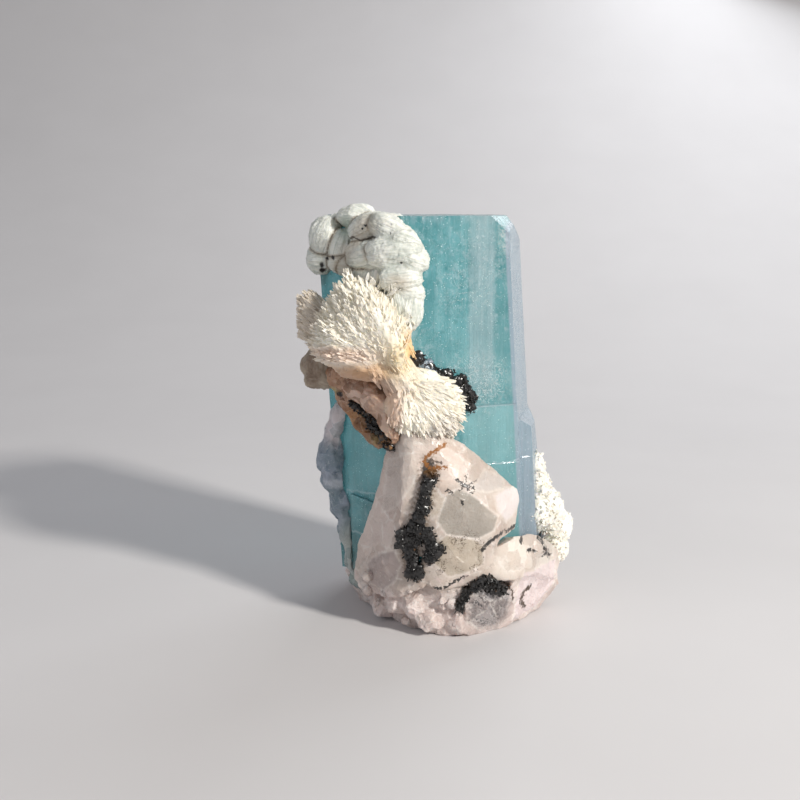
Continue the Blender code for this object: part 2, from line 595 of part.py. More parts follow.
CROWN_LOBES = (
    Lobe(-26.2, -9.4, 87.6, (0.3, -0.3, 1.0), TOWARD_LEFT_FACE, 9.0, 7.2, 6.2),
    Lobe(-27.2, -7.8, 82.2, (1.0, -0.6, 0.0), TOWARD_LEFT_FACE, 7.2, 6.2, 5.8),
    Lobe(-18.9, -11.6, 91.9, (0.8, -0.6, 0.0), (0.0, 0.0, 1.0), 8.8, 8.0, 5.6),
    Lobe(-22.8, -7.0, 90.4, (0.5, 0.5, 0.2), (0.0, 0.0, 1.0), 6.0, 6.0, 4.6),
    Lobe(-16.8, -17.4, 89.4, (0.75, -0.55, 0.4), (-0.5, -0.85, 0.0), 9.6, 5.8, 5.2),
    Lobe(-11.4, -21.2, 89.4, (0.8, -0.2, -0.35), (-0.2, -1.0, 0.2), 10.2, 6.4, 5.4),
    Lobe(-8.2, -23.0, 86.9, (1.0, 0.2, -0.4), TOWARD_VIEWER, 6.8, 4.6, 3.8),
    Lobe(-16.4, -18.2, 83.8, (0.8, -0.5, 0.15), TOWARD_LEFT_FACE, 11.0, 6.4, 5.4),
    Lobe(-11.0, -22.6, 84.2, (1.0, -0.25, 0.1), (-0.2, -1.0, 0.0), 11.6, 6.8, 5.2),
    Lobe(-6.6, -23.2, 83.0, (1.0, 0.3, -0.35), (0.2, -1.0, 0.0), 7.0, 5.6, 4.2),
    Lobe(-20.4, -13.8, 80.8, (0.8, -0.6, 0.0), TOWARD_LEFT_FACE, 7.6, 4.8, 4.4),
    Lobe(-9.4, -23.4, 78.8, (1.0, 0.0, 0.1), TOWARD_VIEWER, 9.0, 5.4, 4.6),
    Lobe(-7.2, -23.2, 76.2, (1.0, 0.15, -0.1), TOWARD_VIEWER, 6.6, 4.4, 3.8),
    Lobe(-7.2, -23.2, 71.9, (0.15, 0.0, 1.0), TOWARD_VIEWER, 8.6, 5.0, 4.0),
    Lobe(-9.6, -23.4, 74.0, (-0.2, 0.0, 1.0), TOWARD_VIEWER, 6.4, 3.6, 3.4),
    Lobe(-17.2, -16.6, 77.8, (0.1, 0.0, 1.0), TOWARD_LEFT_FACE, 9.0, 7.6, 5.2),
    Lobe(-13.6, -19.6, 77.6, (0.2, 0.0, 1.0), TOWARD_LEFT_FACE, 8.0, 5.4, 4.6),
    Lobe(-22.6, -11.4, 85.6, (0.3, -0.2, 1.0), TOWARD_LEFT_FACE, 7.8, 6.0, 5.0),
    Lobe(-22.6, -11.4, 81.8, (1.0, -0.8, 0.0), TOWARD_LEFT_FACE, 6.6, 5.0, 4.6),
    Lobe(-14.6, -15.6, 91.2, (0.7, -0.5, 0.0), (0.0, 0.0, 1.0), 7.0, 6.6, 3.6),
    Lobe(-27.0, -3.4, 86.6, (0.0, 1.0, 0.1), (-1.0, 0.0, 0.2), 8.0, 7.4, 5.4),
    Lobe(-26.4, 1.6, 84.4, (0.0, 1.0, 0.5), (-1.0, 0.1, 0.0), 8.6, 6.8, 4.8),
    Lobe(-25.2, 6.0, 87.2, (0.1, 1.0, 0.1), (-1.0, 0.2, 0.2), 8.8, 7.0, 5.2),
    Lobe(-25.2, 1.8, 89.0, (0.1, 1.0, 0.1), (-0.7, 0.1, 0.7), 8.0, 6.0, 4.8),
    Lobe(-21.4, 0.8, 90.6, (0.2, 1.0, 0.0), (0.0, 0.0, 1.0), 9.6, 8.6, 4.6),
    Lobe(-19.6, 7.6, 90.4, (0.6, 1.0, 0.0), (0.0, 0.0, 1.0), 9.0, 7.0, 4.4),
    Lobe(-24.4, 9.0, 82.8, (0.2, 1.0, -0.3), (-1.0, 0.3, 0.0), 8.0, 6.0, 4.6),
    Lobe(-21.6, 13.0, 86.8, (0.8, 1.0, 0.1), (-0.7, 0.7, 0.1), 8.6, 7.2, 5.2),
    Lobe(-26.0, -1.6, 80.6, (0.0, 0.3, 1.0), (-1.0, 0.0, 0.0), 8.0, 6.4, 4.6),
    Lobe(-25.2, 4.0, 80.4, (0.0, -0.3, 1.0), (-1.0, 0.1, 0.0), 8.0, 6.0, 4.4),
    Lobe(-16.6, 17.0, 83.6, (1.0, 0.4, -0.3), (-0.3, 1.0, 0.0), 9.0, 6.2, 4.8),
    Lobe(-20.2, 14.2, 81.4, (0.3, 0.2, -1.0), (-0.6, 0.9, 0.0), 8.0, 6.0, 4.4),
)

RIGHT_FAN_LOBES = (
    Lobe(22.6, -1.4, 31.0, (0.1, -0.1, 1.0), (1.0, -0.2, 0.0), 11.0, 4.6, 4.4),
    Lobe(24.8, -2.6, 22.8, (0.5, 0.0, 0.8), (0.4, -1.0, 0.2), 10.6, 9.4, 8.6),
    Lobe(28.2, 0.2, 17.4, (0.7, 0.2, 0.6), (0.4, -1.0, 0.2), 9.0, 8.2, 8.2),
    Lobe(27.8, -0.6, 12.8, (1.0, 0.1, -0.2), (0.3, -1.0, 0.0), 7.6, 7.4, 7.8),
    Lobe(22.6, -6.4, 22.4, (0.3, -0.2, 0.9), (0.5, -1.0, 0.0), 8.0, 6.4, 5.4),
    Lobe(26.6, 6.6, 18.0, (0.3, 0.8, 0.5), (1.0, 0.2, 0.0), 9.6, 7.4, 7.0),
    Lobe(24.0, 7.0, 25.0, (0.0, 0.4, 1.0), (1.0, 0.2, 0.0), 9.4, 6.4, 5.0),
    Lobe(23.6, 13.4, 17.0, (-0.4, 0.8, 0.2), (0.8, 0.6, 0.1), 8.8, 7.0, 6.2),
    Lobe(27.0, 5.2, 11.6, (0.3, 0.8, -0.1), (1.0, 0.2, 0.0), 9.0, 6.4, 6.4),
    Lobe(22.4, 12.0, 22.6, (-0.2, 0.5, 0.8), (0.9, 0.5, 0.0), 8.6, 6.4, 5.0),
    Lobe(25.0, 10.4, 12.6, (-0.4, 0.8, 0.0), (1.0, 0.5, 0.0), 8.6, 6.6, 6.0),
    Lobe(25.2, 2.0, 24.6, (0.1, 0.4, 1.0), (1.0, 0.0, 0.1), 10.4, 7.0, 5.4),
    Lobe(24.0, 3.4, 30.0, (-0.1, 0.3, 1.0), (1.0, 0.0, 0.1), 8.4, 5.0, 4.4),
)


def build_lobes(name, lobes, group, voxel, triangles):
    """Rounded lobes fused in one lump."""
    shape = bmesh.new()
    for lobe in lobes:
        add_lobe(shape, lobe)
    item = object_from(name, shape, group)
    fuse(item, voxel, triangles)
    return item


# --- Cleavelandite sheaf --------------------------------------------------------------------------

UPPER_KNOT = (-10.6, -25.2, 59.0)
LOWER_KNOT = (-9.4, -25.4, 58.0)

# Reach of each fan: turn from +X as the viewer sees it, in degrees, and length.
UPPER_FAN = (
    (77.0, 11.0), (86.0, 13.4), (95.0, 16.6), (102.0, 19.6), (110.0, 23.4), (117.0, 25.8),
    (125.0, 25.4), (133.0, 25.8), (141.0, 26.0), (149.0, 25.6), (157.0, 24.2), (165.0, 21.0),
    (174.0, 15.4),
)
LOWER_FAN = (
    (-8.0, 10.4), (-17.0, 14.2), (-25.0, 16.4), (-33.0, 17.8), (-41.0, 19.2), (-50.0, 19.4),
    (-60.0, 18.4), (-72.0, 16.4), (-84.0, 14.6), (-96.0, 12.6),
)
# Layers of each fan: share of the reach, lean toward the viewer and offset of the turn in
# degrees.
UPPER_LAYERS = ((1.0, 0.0, 0.0), (0.95, 10.0, 4.0), (0.84, 21.0, -3.0), (0.94, -12.0, 3.0))
LOWER_LAYERS = ((1.0, 0.0, 0.0), (0.92, 8.0, 5.0), (0.96, -10.0, -4.0))

# How far each fan swings away from the viewer for each unit that it spreads sideways.
UPPER_SWING = 0.48
LOWER_SWING = 0.22

WAIST_LOBES = (
    Lobe(-10.0, -25.6, 58.6, (0.55, 0.0, -0.83), TOWARD_VIEWER, 13.0, 8.4, 7.4),
    Lobe(-14.2, -24.0, 62.4, (-0.7, 0.3, 0.6), TOWARD_VIEWER, 13.0, 10.0, 8.4),
    Lobe(-28.8, -13.6, 70.6, (-0.2, 0.2, 1.0), TOWARD_VIEWER, 9.4, 6.8, 6.8),
    Lobe(-29.0, -12.8, 66.8, (-0.9, 0.2, 0.2), TOWARD_VIEWER, 6.4, 6.0, 6.0),
)


def fan_direction(turn, lean, swing):
    """Direction of one blade of a fan, of length 1 in the viewer's plane."""
    angle = math.radians(turn)
    side, rise = math.cos(angle), math.sin(angle)
    return Vector((side, abs(side) * swing - math.tan(math.radians(lean)), rise))


def fan_body(shape, knot, fan, swing, width, depth):
    """Solid heart of a fan, reaching most of the way to the tips of its blades."""
    for turn, reach in fan:
        along = fan_direction(turn, 4.0, swing)
        middle = Vector(knot) + along * reach * 0.46
        lobe = Lobe(*middle, along, TOWARD_VIEWER, reach * 0.88, width, depth)
        add_lobe(shape, lobe)


def fan_blades(shape, knot, fan, layers, swing, width, thickness, dice):
    """Blades that spread from a knot, layer over layer."""
    for share, lean, offset in layers:
        for turn, reach in fan:
            along = fan_direction(turn + offset + dice.uniform(-2.0, 2.0), lean, swing)
            length = reach * share * dice.uniform(0.93, 1.0)
            tip = Vector(knot) + along * length
            root = Vector(knot) + along * (length * 0.4)
            out = Vector((-along.z, dice.uniform(-0.4, 0.4), along.x))
            add_blade(shape, root, tip, out, width * dice.uniform(0.85, 1.2), thickness)


def build_sheaf(group):
    """The hourglass bundle of blades round its solid heart."""
    dice = random.Random(5)
    shape = bmesh.new()
    for lobe in WAIST_LOBES:
        add_lobe(shape, lobe)
    fan_body(shape, UPPER_KNOT, UPPER_FAN, UPPER_SWING, 4.8, 9.0)
    fan_body(shape, LOWER_KNOT, LOWER_FAN, LOWER_SWING, 4.8, 6.0)
    fan_blades(shape, UPPER_KNOT, UPPER_FAN, UPPER_LAYERS, UPPER_SWING, 3.4, 1.7, dice)
    fan_blades(shape, LOWER_KNOT, LOWER_FAN, LOWER_LAYERS, LOWER_SWING, 3.2, 1.6, dice)
    item = object_from("cleavelandite_sheaf", shape, group)
    fuse(item, 0.42, 2200)
    return item


# --- Black tourmaline crusts ----------------------------------------------------------------------

# Stops of each crust as (x, z) in millimetres, seen from the front.
UPPER_CRUST = (
    (-5.6, 62.0), (-4.2, 59.6), (-2.0, 57.8), (1.0, 56.6), (3.4, 55.4), (5.2, 53.4), (5.8, 50.4),
)
# The crust in the feldspar's hollow, as (x, y, z).
LOWER_CRUST = (
    (-19.0, -15.8, 51.2), (-17.0, -17.6, 49.0), (-15.0, -19.4, 46.8), (-13.0, -21.2, 44.6),
    (-11.4, -22.6, 43.0),
)
VEIN = (
    (-1.4, 43.0), (-3.2, 41.4), (-3.0, 39.6), (-3.4, 36.6), (-4.4, 32.0), (-5.4, 28.0),
    (-6.4, 23.6), (-7.2, 19.4), (-6.8, 15.8), (-5.4, 15.0),
)
VEIN_BRANCH = ((-6.0, 25.4), (-8.2, 24.2), (-9.4, 22.4))
VEIN_SPUR = ((-4.6, 25.6), (-2.4, 23.2), (-1.2, 21.2), (-3.4, 19.4))
FOOT_ARCH = ((3.6, 7.2), (4.6, 9.6), (6.2, 11.6), (8.2, 13.4), (9.8, 12.4), (11.4, 10.8), (12.6, 10.2))


def crust_places(stops, tree, step):
    """Points (x, y, z) along a crust: given ones, or laid on the surface that carries it."""
    if len(stops[0]) == 3:
        places = []
        for start, end in zip(stops, stops[1:]):
            places += [Vector(start).lerp(Vector(end), share) for share in (0.0, 0.5)]
        return places + [Vector(stops[-1])]
    places = []
    for x, z in path_points(stops, step):
        depth = surface_depth(tree, x, z)
        if depth is not None:
            places.append(Vector((x, depth, z)))
    return places


def build_crust(name, lines, carrier, size, triangles, seed, group):
    """Black crust of short tourmaline columns fused along one or more lines."""
    dice = random.Random(seed)
    tree = surface_tree(carrier)
    shape = bmesh.new()
    for stops in lines:
        for place in crust_places(stops, tree, size * 0.42):
            shift = Vector((dice.uniform(-1, 1), 0.0, dice.uniform(-1, 1))) * 0.2 * size
            along = Vector((dice.uniform(-1, 1), dice.uniform(-0.6, 0.2), dice.uniform(-1, 1)))
            length = size * dice.uniform(1.0, 1.5)
            lobe = Lobe(*(place + shift), along, TOWARD_VIEWER, length, size, size)
            add_lobe(shape, lobe, rounds=1)
    item = object_from(name, shape, group)
    fuse(item, 0.32, triangles)
    return item


# --- Assembly -------------------------------------------------------------------------------------


def make_room(item, cutters):
    """Cut an item back from the clearance copies of what it touches."""
    for cutter in cutters:
        boolean(item, "DIFFERENCE", cutter)
        keep_main_shell(item)


def main():
    """Build every piece of the specimen."""
    clear_scene()
    parts = make_collection(SPECIMEN)
    rooms = make_collection("clearances")

    crystal = build_crystal("aquamarine_crystal", 0.0, parts)
    crystal_room = build_crystal("crystal_room", CLEARANCE, rooms)
    crystal_room.hide_render = True
    crystal_room.display_type = "WIRE"

    matrix = build_matrix(parts, crystal_room)
    matrix_room = grown_copy(matrix, CLEARANCE, rooms)
    wide_matrix_room = grown_copy(matrix, WIDE_CLEARANCE, rooms)

    sheaf = build_sheaf(parts)
    make_room(sheaf, (crystal_room, matrix_room))
    sheaf_room = grown_copy(sheaf, CLEARANCE, rooms)

    feldspar = build_lobes("feldspar_wedge", FELDSPAR_LOBES, parts, 0.5, 340)
    hollow = bmesh.new()
    add_lobe(hollow, HOLLOW)
    hollow_room = object_from("hollow_room", hollow, rooms)
    hollow_room.hide_render = True
    hollow_room.display_type = "WIRE"
    make_room(feldspar, (crystal_room, matrix_room, sheaf_room, hollow_room))
    feldspar_room = grown_copy(feldspar, CLEARANCE, rooms)

    crown = build_lobes("albite_crown", CROWN_LOBES, parts, 0.5, 1400)
    make_room(crown, (crystal_room, sheaf_room))

    nodule = build_lobes("albite_nodule", NODULE_LOBES, parts, 0.45, 200)
    make_room(nodule, (crystal_room, sheaf_room, feldspar_room))

    flank = build_lobes("quartz_flank", FLANK_LOBES, parts, 0.6, 420)
    make_room(flank, (crystal_room, wide_matrix_room, feldspar_room, matrix))

    fan = build_lobes("albite_fan_right", RIGHT_FAN_LOBES, parts, 0.6, 380)
    make_room(fan, (crystal_room, wide_matrix_room, matrix))

    upper = build_crust("schorl_upper", (UPPER_CRUST,), crystal, 3.2, 200, 3, parts)
    make_room(upper, (crystal_room, matrix_room, sheaf_room, feldspar_room))
    lower = build_crust("schorl_lower", (LOWER_CRUST,), feldspar, 3.0, 120, 7, parts)
    make_room(lower, (crystal_room, matrix_room, sheaf_room, feldspar_room))
    vein_lines = (VEIN, VEIN_BRANCH, VEIN_SPUR)
    vein = build_crust("schorl_vein", vein_lines, matrix, 2.8, 260, 9, parts)
    make_room(vein, (wide_matrix_room, matrix, sheaf_room))
    foot = build_crust("schorl_foot", (FOOT_ARCH,), matrix, 2.4, 120, 13, parts)
    make_room(foot, (wide_matrix_room, matrix))

    finishes = {
        crystal: "aquamarine",
        crown: "white_albite",
        nodule: "grey_albite",
        sheaf: "cream_albite",
        feldspar: "feldspar",
        upper: "tourmaline",
        lower: "tourmaline",
        matrix: "quartz",
        flank: "smoky_quartz",
        fan: "white_albite",
        vein: "tourmaline",
        foot: "tourmaline",
    }
    for item, finish in finishes.items():
        item.data.materials.clear()
        item.data.materials.append(bpy.data.materials.get(finish) or make_material(finish))
        if finish != "aquamarine" and item is not matrix:
            item.data.shade_smooth()
            item.data.set_sharp_from_angle(angle=math.radians(38))


main()
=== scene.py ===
"""Aquamarine crystal specimen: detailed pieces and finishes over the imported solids."""

import logging
import math
import random
from contextlib import contextmanager
from dataclasses import dataclass
from enum import Enum
from typing import Any, Callable, Iterable, Iterator, Sequence

import bmesh
import bpy
import numpy as np
from mathutils import Matrix, Vector


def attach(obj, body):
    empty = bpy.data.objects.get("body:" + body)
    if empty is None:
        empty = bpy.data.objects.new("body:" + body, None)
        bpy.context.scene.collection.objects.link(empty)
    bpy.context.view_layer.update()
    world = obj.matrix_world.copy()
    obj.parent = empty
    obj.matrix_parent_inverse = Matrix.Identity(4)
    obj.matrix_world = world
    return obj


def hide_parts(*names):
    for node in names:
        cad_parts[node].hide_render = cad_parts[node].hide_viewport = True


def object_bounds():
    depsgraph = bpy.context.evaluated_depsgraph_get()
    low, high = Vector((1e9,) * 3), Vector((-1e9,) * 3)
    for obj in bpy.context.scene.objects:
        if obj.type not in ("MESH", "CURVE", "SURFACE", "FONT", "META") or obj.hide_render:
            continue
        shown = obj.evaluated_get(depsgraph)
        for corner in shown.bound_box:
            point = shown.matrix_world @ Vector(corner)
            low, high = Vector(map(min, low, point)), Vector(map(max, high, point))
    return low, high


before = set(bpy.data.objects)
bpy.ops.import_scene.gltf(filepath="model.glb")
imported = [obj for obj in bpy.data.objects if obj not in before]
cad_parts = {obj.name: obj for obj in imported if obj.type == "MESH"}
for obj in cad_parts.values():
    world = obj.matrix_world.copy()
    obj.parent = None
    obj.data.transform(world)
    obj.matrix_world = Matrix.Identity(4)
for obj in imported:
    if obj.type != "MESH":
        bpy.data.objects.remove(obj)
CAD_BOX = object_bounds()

LOG = logging.getLogger("specimen")
MM = 0.001
FELDSPAR_IOR = 1.53
QUARTZ_IOR = 1.544
Triple = tuple[float, float, float]
Pair = tuple[float, float]
TOWARD_VIEWER: Triple = (0.0, -1.0, 0.0)
TOWARD_LEFT_FACE: Triple = (-0.66, -0.75, 0.0)


# --- Bench work: selecting, shaping and copying ---------------------------------------------------


def deselect_all() -> None:
    """Deselect every object."""
    bpy.ops.object.select_all(action="DESELECT")


def pick(item: bpy.types.Object) -> bpy.types.Object:
    """Make one object the only selected one and the active one.

    Args:
        item: The object to pick.

    Returns:
        The same object.
    """
    deselect_all()
    item.select_set(True)
    bpy.context.view_layer.objects.active = item
    return item


@contextmanager
def edit_mode(item: bpy.types.Object) -> Iterator[bmesh.types.BMesh]:
    """Work on an object's mesh in edit mode.

    Args:
        item: The mesh object to edit.

    Yields:
        The mesh that is being edited.
    """
    pick(item)
    bpy.ops.object.mode_set(mode="EDIT")
    try:
        yield bmesh.from_edit_mesh(item.data)
    finally:
        bpy.ops.object.mode_set(mode="OBJECT")


def select_faces(item: bpy.types.Object, wanted: Callable[[Vector, Vector], bool]) -> int:
    """Select faces by their place and normal, while in edit mode.

    Args:
        item: The object that is in edit mode.
        wanted: Says for a face's middle and normal whether the face is wanted.

    Returns:
        The number of faces selected.
    """
    bpy.ops.mesh.select_mode(type="FACE")
    bpy.ops.mesh.select_all(action="DESELECT")
    shape = bmesh.from_edit_mesh(item.data)
    count = 0
    for face in shape.faces:
        if wanted(face.calc_center_median(), face.normal):
            face.select_set(True)
            count += 1
    shape.select_flush_mode()
    bmesh.update_edit_mesh(item.data)
    return count


def settle(item: bpy.types.Object) -> bpy.types.Object:
    """Put an object's place, turn and size into its mesh.

    Args:
        item: The object to settle.

    Returns:
        The same object, at the origin, unturned and unscaled.
    """
    pick(item)
    bpy.ops.object.transform_apply(location=True, rotation=True, scale=True)
    return item


def apply_modifiers(item: bpy.types.Object) -> None:
    """Apply every modifier of an object, in order."""
    pick(item)
    for modifier in list(item.modifiers):
        bpy.ops.object.modifier_apply(modifier=modifier.name)


def modify(item: bpy.types.Object, kind: str, **settings: Any) -> None:
    """Add one modifier with its settings and apply it.

    Args:
        item: The object to change.
        kind: The modifier's type.
        **settings: The modifier's own settings.
    """
    modifier = item.modifiers.new(kind.title(), kind)
    for key, value in settings.items():
        setattr(modifier, key, value)
    apply_modifiers(item)


def remesh(item: bpy.types.Object, voxel: float, smooth_rounds: int = 2) -> None:
    """Give an object an even skin of small faces.

    Args:
        item: The object to remesh.
        voxel: The size of the faces in millimetres.
        smooth_rounds: How often the new skin is smoothed.
    """
    modify(item, "REMESH", mode="VOXEL", voxel_size=voxel * MM, use_smooth_shade=True)
    if smooth_rounds:
        modify(item, "SMOOTH", factor=0.5, iterations=smooth_rounds)


class Grain(Enum):
    """Patterns that push a surface in and out."""

    CLOUDS = "BLENDER_ORIGINAL"
    PERLIN = "ORIGINAL_PERLIN"
    CELLS = "VORONOI_F1"
    RIDGES = "VORONOI_F2_F1"


def roughen(
    item: bpy.types.Object,
    grain: Grain,
    size: float,
    depth: float,
    middle: float = 0.5,
    stretch: Triple = (1.0, 1.0, 1.0),
    turn: Triple = (0.0, 0.0, 0.0),
    shift: Triple = (0.0, 0.0, 0.0),
    group: str = "",
    rounds: int = 2,
    unit: float = MM,
    combed: bool = False,
) -> None:
    """Push a surface in and out by a grain.

    Args:
        item: The object to roughen.
        grain: The pattern.
        size: The pattern's size, in units.
        depth: How far the surface moves from its lowest to its highest, in units.
        middle: The pattern's value that leaves the surface where it is.
        stretch: How much longer the pattern is along each axis.
        turn: The pattern's turn in degrees.
        shift: The pattern's shift in units.
        group: The vertex group that it is limited to, or nothing.
        rounds: How many finer rounds of noise are added.
        unit: The unit's length in metres.
        combed: Whether the pattern follows the item's UV map, which is in millimetres.
    """
    pattern = bpy.data.textures.new("grain", "CLOUDS")
    pattern.noise_basis = grain.value
    pattern.noise_scale = size if combed else size * unit
    pattern.noise_depth = rounds
    bpy.ops.object.empty_add(location=Vector(shift) * unit)
    guide = bpy.context.object
    guide.rotation_euler = [math.radians(angle) for angle in turn]
    guide.scale = stretch
    bpy.context.view_layer.update()
    modify(
        item,
        "DISPLACE",
        texture=pattern,
        texture_coords="UV" if combed else "OBJECT",
        texture_coords_object=guide,
        uv_layer="UVMap" if combed else "",
        strength=depth * unit,
        mid_level=middle,
        vertex_group=group,
    )
    bpy.data.objects.remove(guide)


def grade(item: bpy.types.Object, name: str, weight: Callable[[Vector], float]) -> str:
    """Give an object a vertex group whose weight follows from place.

    Args:
        item: The object.
        name: The group's name.
        weight: The weight for a point in millimetres, 0 to 1.

    Returns:
        The group's name.
    """
    group = item.vertex_groups.new(name=name)
    steps: dict[int, list[int]] = {}
    for vertex in item.data.vertices:
        level = round(10 * max(0.0, min(1.0, weight(vertex.co / MM))))
        steps.setdefault(level, []).append(vertex.index)
    for level, members in steps.items():
        group.add(members, level / 10, "REPLACE")
    return name


def orientation(along: Sequence[float], out: Sequence[float]) -> Matrix:
    """Turn that lays X along one direction and faces Z to another.

    Args:
        along: Where the X axis goes.
        out: Where the Z axis faces.

    Returns:
        The turn as a 4 by 4 matrix.
    """
    first = Vector(along).normalized()
    third = Vector(out)
    third = third - first * third.dot(first)
    if third.length < 1e-6:
        third = first.orthogonal()
    third.normalize()
    second = third.cross(first)
    return Matrix((first, second, third)).transposed().to_4x4()


@dataclass(frozen=True)
class Lobe:
    """A place, a direction and three sizes in millimetres, for one rounded or bladed growth."""

    x: float
    y: float
    z: float
    along: Triple
    out: Triple
    length: float
    width: float
    depth: float

    def matrix(self, swell: float = 1.0) -> Matrix:
        """Matrix that carries a growth of radius 1 to this place.

        Args:
            swell: A factor on all three sizes.

        Returns:
            The matrix, in metres.
        """
        place = Matrix.Translation(Vector((self.x, self.y, self.z)) * MM)
        half = Vector((self.length, self.width, self.depth)) * (swell * MM / 2)
        return place @ orientation(self.along, self.out) @ Matrix.Diagonal((*half, 1.0))


def copy_to(
    patterns: Sequence[bpy.types.Object],
    places: Iterable[Matrix],
    name: str,
    seed: int,
) -> bpy.types.Object:
    """Copy finished growths to many places, each copy with its own mesh, and join the copies.

    Args:
        patterns: The growths to choose from.
        places: Where the copies go.
        name: The joined object's name.
        seed: Seeds the choice and the shift of each copy's own UV map.

    Returns:
        The joined object.
    """
    dice = random.Random(seed)
    copies = []
    for place in places:
        mesh = dice.choice(patterns).data.copy()
        mesh.transform(place)
        shift_u, shift_v = dice.random() * 20, dice.random() * 20
        for layer in mesh.uv_layers:
            for corner in layer.data:
                corner.uv = (corner.uv[0] + shift_u, corner.uv[1] + shift_v)
        copy = bpy.data.objects.new(name, mesh)
        bpy.context.scene.collection.objects.link(copy)
        copies.append(copy)
    deselect_all()
    for copy in copies:
        copy.select_set(True)
    bpy.context.view_layer.objects.active = copies[0]
    if len(copies) > 1:
        bpy.ops.object.join()
    joined = bpy.context.view_layer.objects.active
    joined.name = name
    return joined


def comb(item: bpy.types.Object, lobes: Sequence[Lobe], swell: float = 1.0) -> None:
    """Lay a fused growth's UV map along its lobes, in millimetres, and mark its crevices.

    Args:
        item: The fused growth.
        lobes: Its lobes.
        swell: The factor on their sizes.
    """
    mesh = item.data
    places = np.empty(len(mesh.vertices) * 3)
    mesh.vertices.foreach_get("co", places)
    places = places.reshape(-1, 3)
    first = np.full(len(places), 1e9)
    second, across, along = first.copy(), first * 0.0, first * 0.0
    for index, lobe in enumerate(lobes):
        back = np.array(lobe.matrix(swell).inverted())
        local = places @ back[:3, :3].T + back[:3, 3]
        reach = np.linalg.norm(local, axis=1)
        nearer = reach < first
        second = np.where(nearer, first, np.minimum(second, reach))
        girth = (lobe.width + lobe.depth) / 4
        turned = np.arctan2(local[:, 1], local[:, 2]) * girth + index * 17.3
        across = np.where(nearer, turned, across)
        along = np.where(nearer, local[:, 0] * lobe.length * 0.07 + index * 3.1, along)
        first = np.where(nearer, reach, first)
    crevice = mesh.attributes.new("crevice", "FLOAT", "POINT")
    crevice.data.foreach_set("value", np.clip(1.0 - (second - first) / 0.3, 0.0, 1.0))
    corners = np.empty(len(mesh.loops), dtype=int)
    mesh.loops.foreach_get("vertex_index", corners)
    layer = mesh.uv_layers.active or mesh.uv_layers.new(name="UVMap")
    layer.data.foreach_set("uv", np.stack((across[corners], along[corners]), axis=1).ravel())


def fuse_lobes(
    name: str,
    lobes: Sequence[Lobe],
    seed: int,
    voxel: float,
    swell: float = 1.0,
    smooth_rounds: int = 1,
) -> bpy.types.Object:
    """Grow striated lobes together into one closed skin.

    Args:
        name: The new object's name.
        lobes: The lobes.
        seed: Seeds their relief.
        voxel: The size of the skin's faces in millimetres.
        swell: A factor on the lobes' sizes.
        smooth_rounds: How often the skin is smoothed before its fine relief.

    Returns:
        The skin, combed along its lobes.
    """
    patterns = [add_striated_lobe(f"{name}_{n}", seed + n) for n in range(3)]
    item = copy_to(patterns, [lobe.matrix(swell) for lobe in lobes], name, seed)
    discard(*patterns)
    remesh(item, voxel, smooth_rounds)
    comb(item, lobes, swell)
    roughen(item, Grain.CLOUDS, 0.5, 0.75, 0.5, combed=True, rounds=3)
    roughen(item, Grain.RIDGES, 0.9, 0.34, 0.5)
    roughen(item, Grain.PERLIN, 0.45, 0.22, 0.5)
    press_inside(item)
    return item


def press_inside(item: bpy.types.Object, zone: float = 8.0) -> None:
    """Press a piece's outermost part inward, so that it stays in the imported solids' box.

    Args:
        item: The piece, at the origin.
        zone: The thickness of the part that is pressed, in millimetres.
    """
    places = np.empty(len(item.data.vertices) * 3)
    item.data.vertices.foreach_get("co", places)
    places = places.reshape(-1, 3)
    for axis in range(3):
        for side, limits in ((-1.0, CAD_BOX[0]), (1.0, CAD_BOX[1])):
            reach = places[:, axis] * side
            edge = limits[axis] * side - 1e-5
            start = edge - zone * MM
            if reach.max() > edge:
                pressed = start + (reach - start) * (edge - start) / (reach.max() - start)
                places[:, axis] = np.where(reach > start, pressed, reach) * side
    item.data.vertices.foreach_set("co", places.ravel())
    item.data.update()


def discard(*items: bpy.types.Object) -> None:
    """Remove objects that were only a start for others."""
    for item in items:
        bpy.data.objects.remove(item)


def cad_copy(node: str, name: str) -> bpy.types.Object:
    """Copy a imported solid's mesh as the start of a finer piece.

    Args:
        node: The solid's name.
        name: The new object's name.

    Returns:
        The new object, closed and facing outward.
    """
    item = bpy.data.objects.new(name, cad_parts[node].data.copy())
    item.data.materials.clear()
    bpy.context.scene.collection.objects.link(item)
    with edit_mode(item):
        bpy.ops.mesh.select_all(action="SELECT")
        bpy.ops.mesh.remove_doubles(threshold=1e-6)
        bpy.ops.mesh.normals_make_consistent(inside=False)
    return item


def dress(
    item: bpy.types.Object, material: bpy.types.Material, slot: str, *nodes: str
) -> bpy.types.Object:
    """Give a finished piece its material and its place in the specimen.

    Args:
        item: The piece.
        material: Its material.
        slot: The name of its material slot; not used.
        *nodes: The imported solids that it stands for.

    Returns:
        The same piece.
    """
    press_inside(item)
    item.data.materials.clear()
    item.data.materials.append(material)
    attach(item, "root")
    if nodes:
        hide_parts(*nodes)
    LOG.info("%s: %d faces", item.name, len(item.data.polygons))
    return item


def shade(item: bpy.types.Object, angle: float = 180.0) -> None:
    """Shade a piece smooth, with sharp edges where faces meet at more than an angle."""
    pick(item)
    if angle >= 180.0:
        bpy.ops.object.shade_smooth()
    else:
        bpy.ops.object.shade_smooth_by_angle(angle=math.radians(angle))


# --- Shader maths ---------------------------------------------------------------------------------


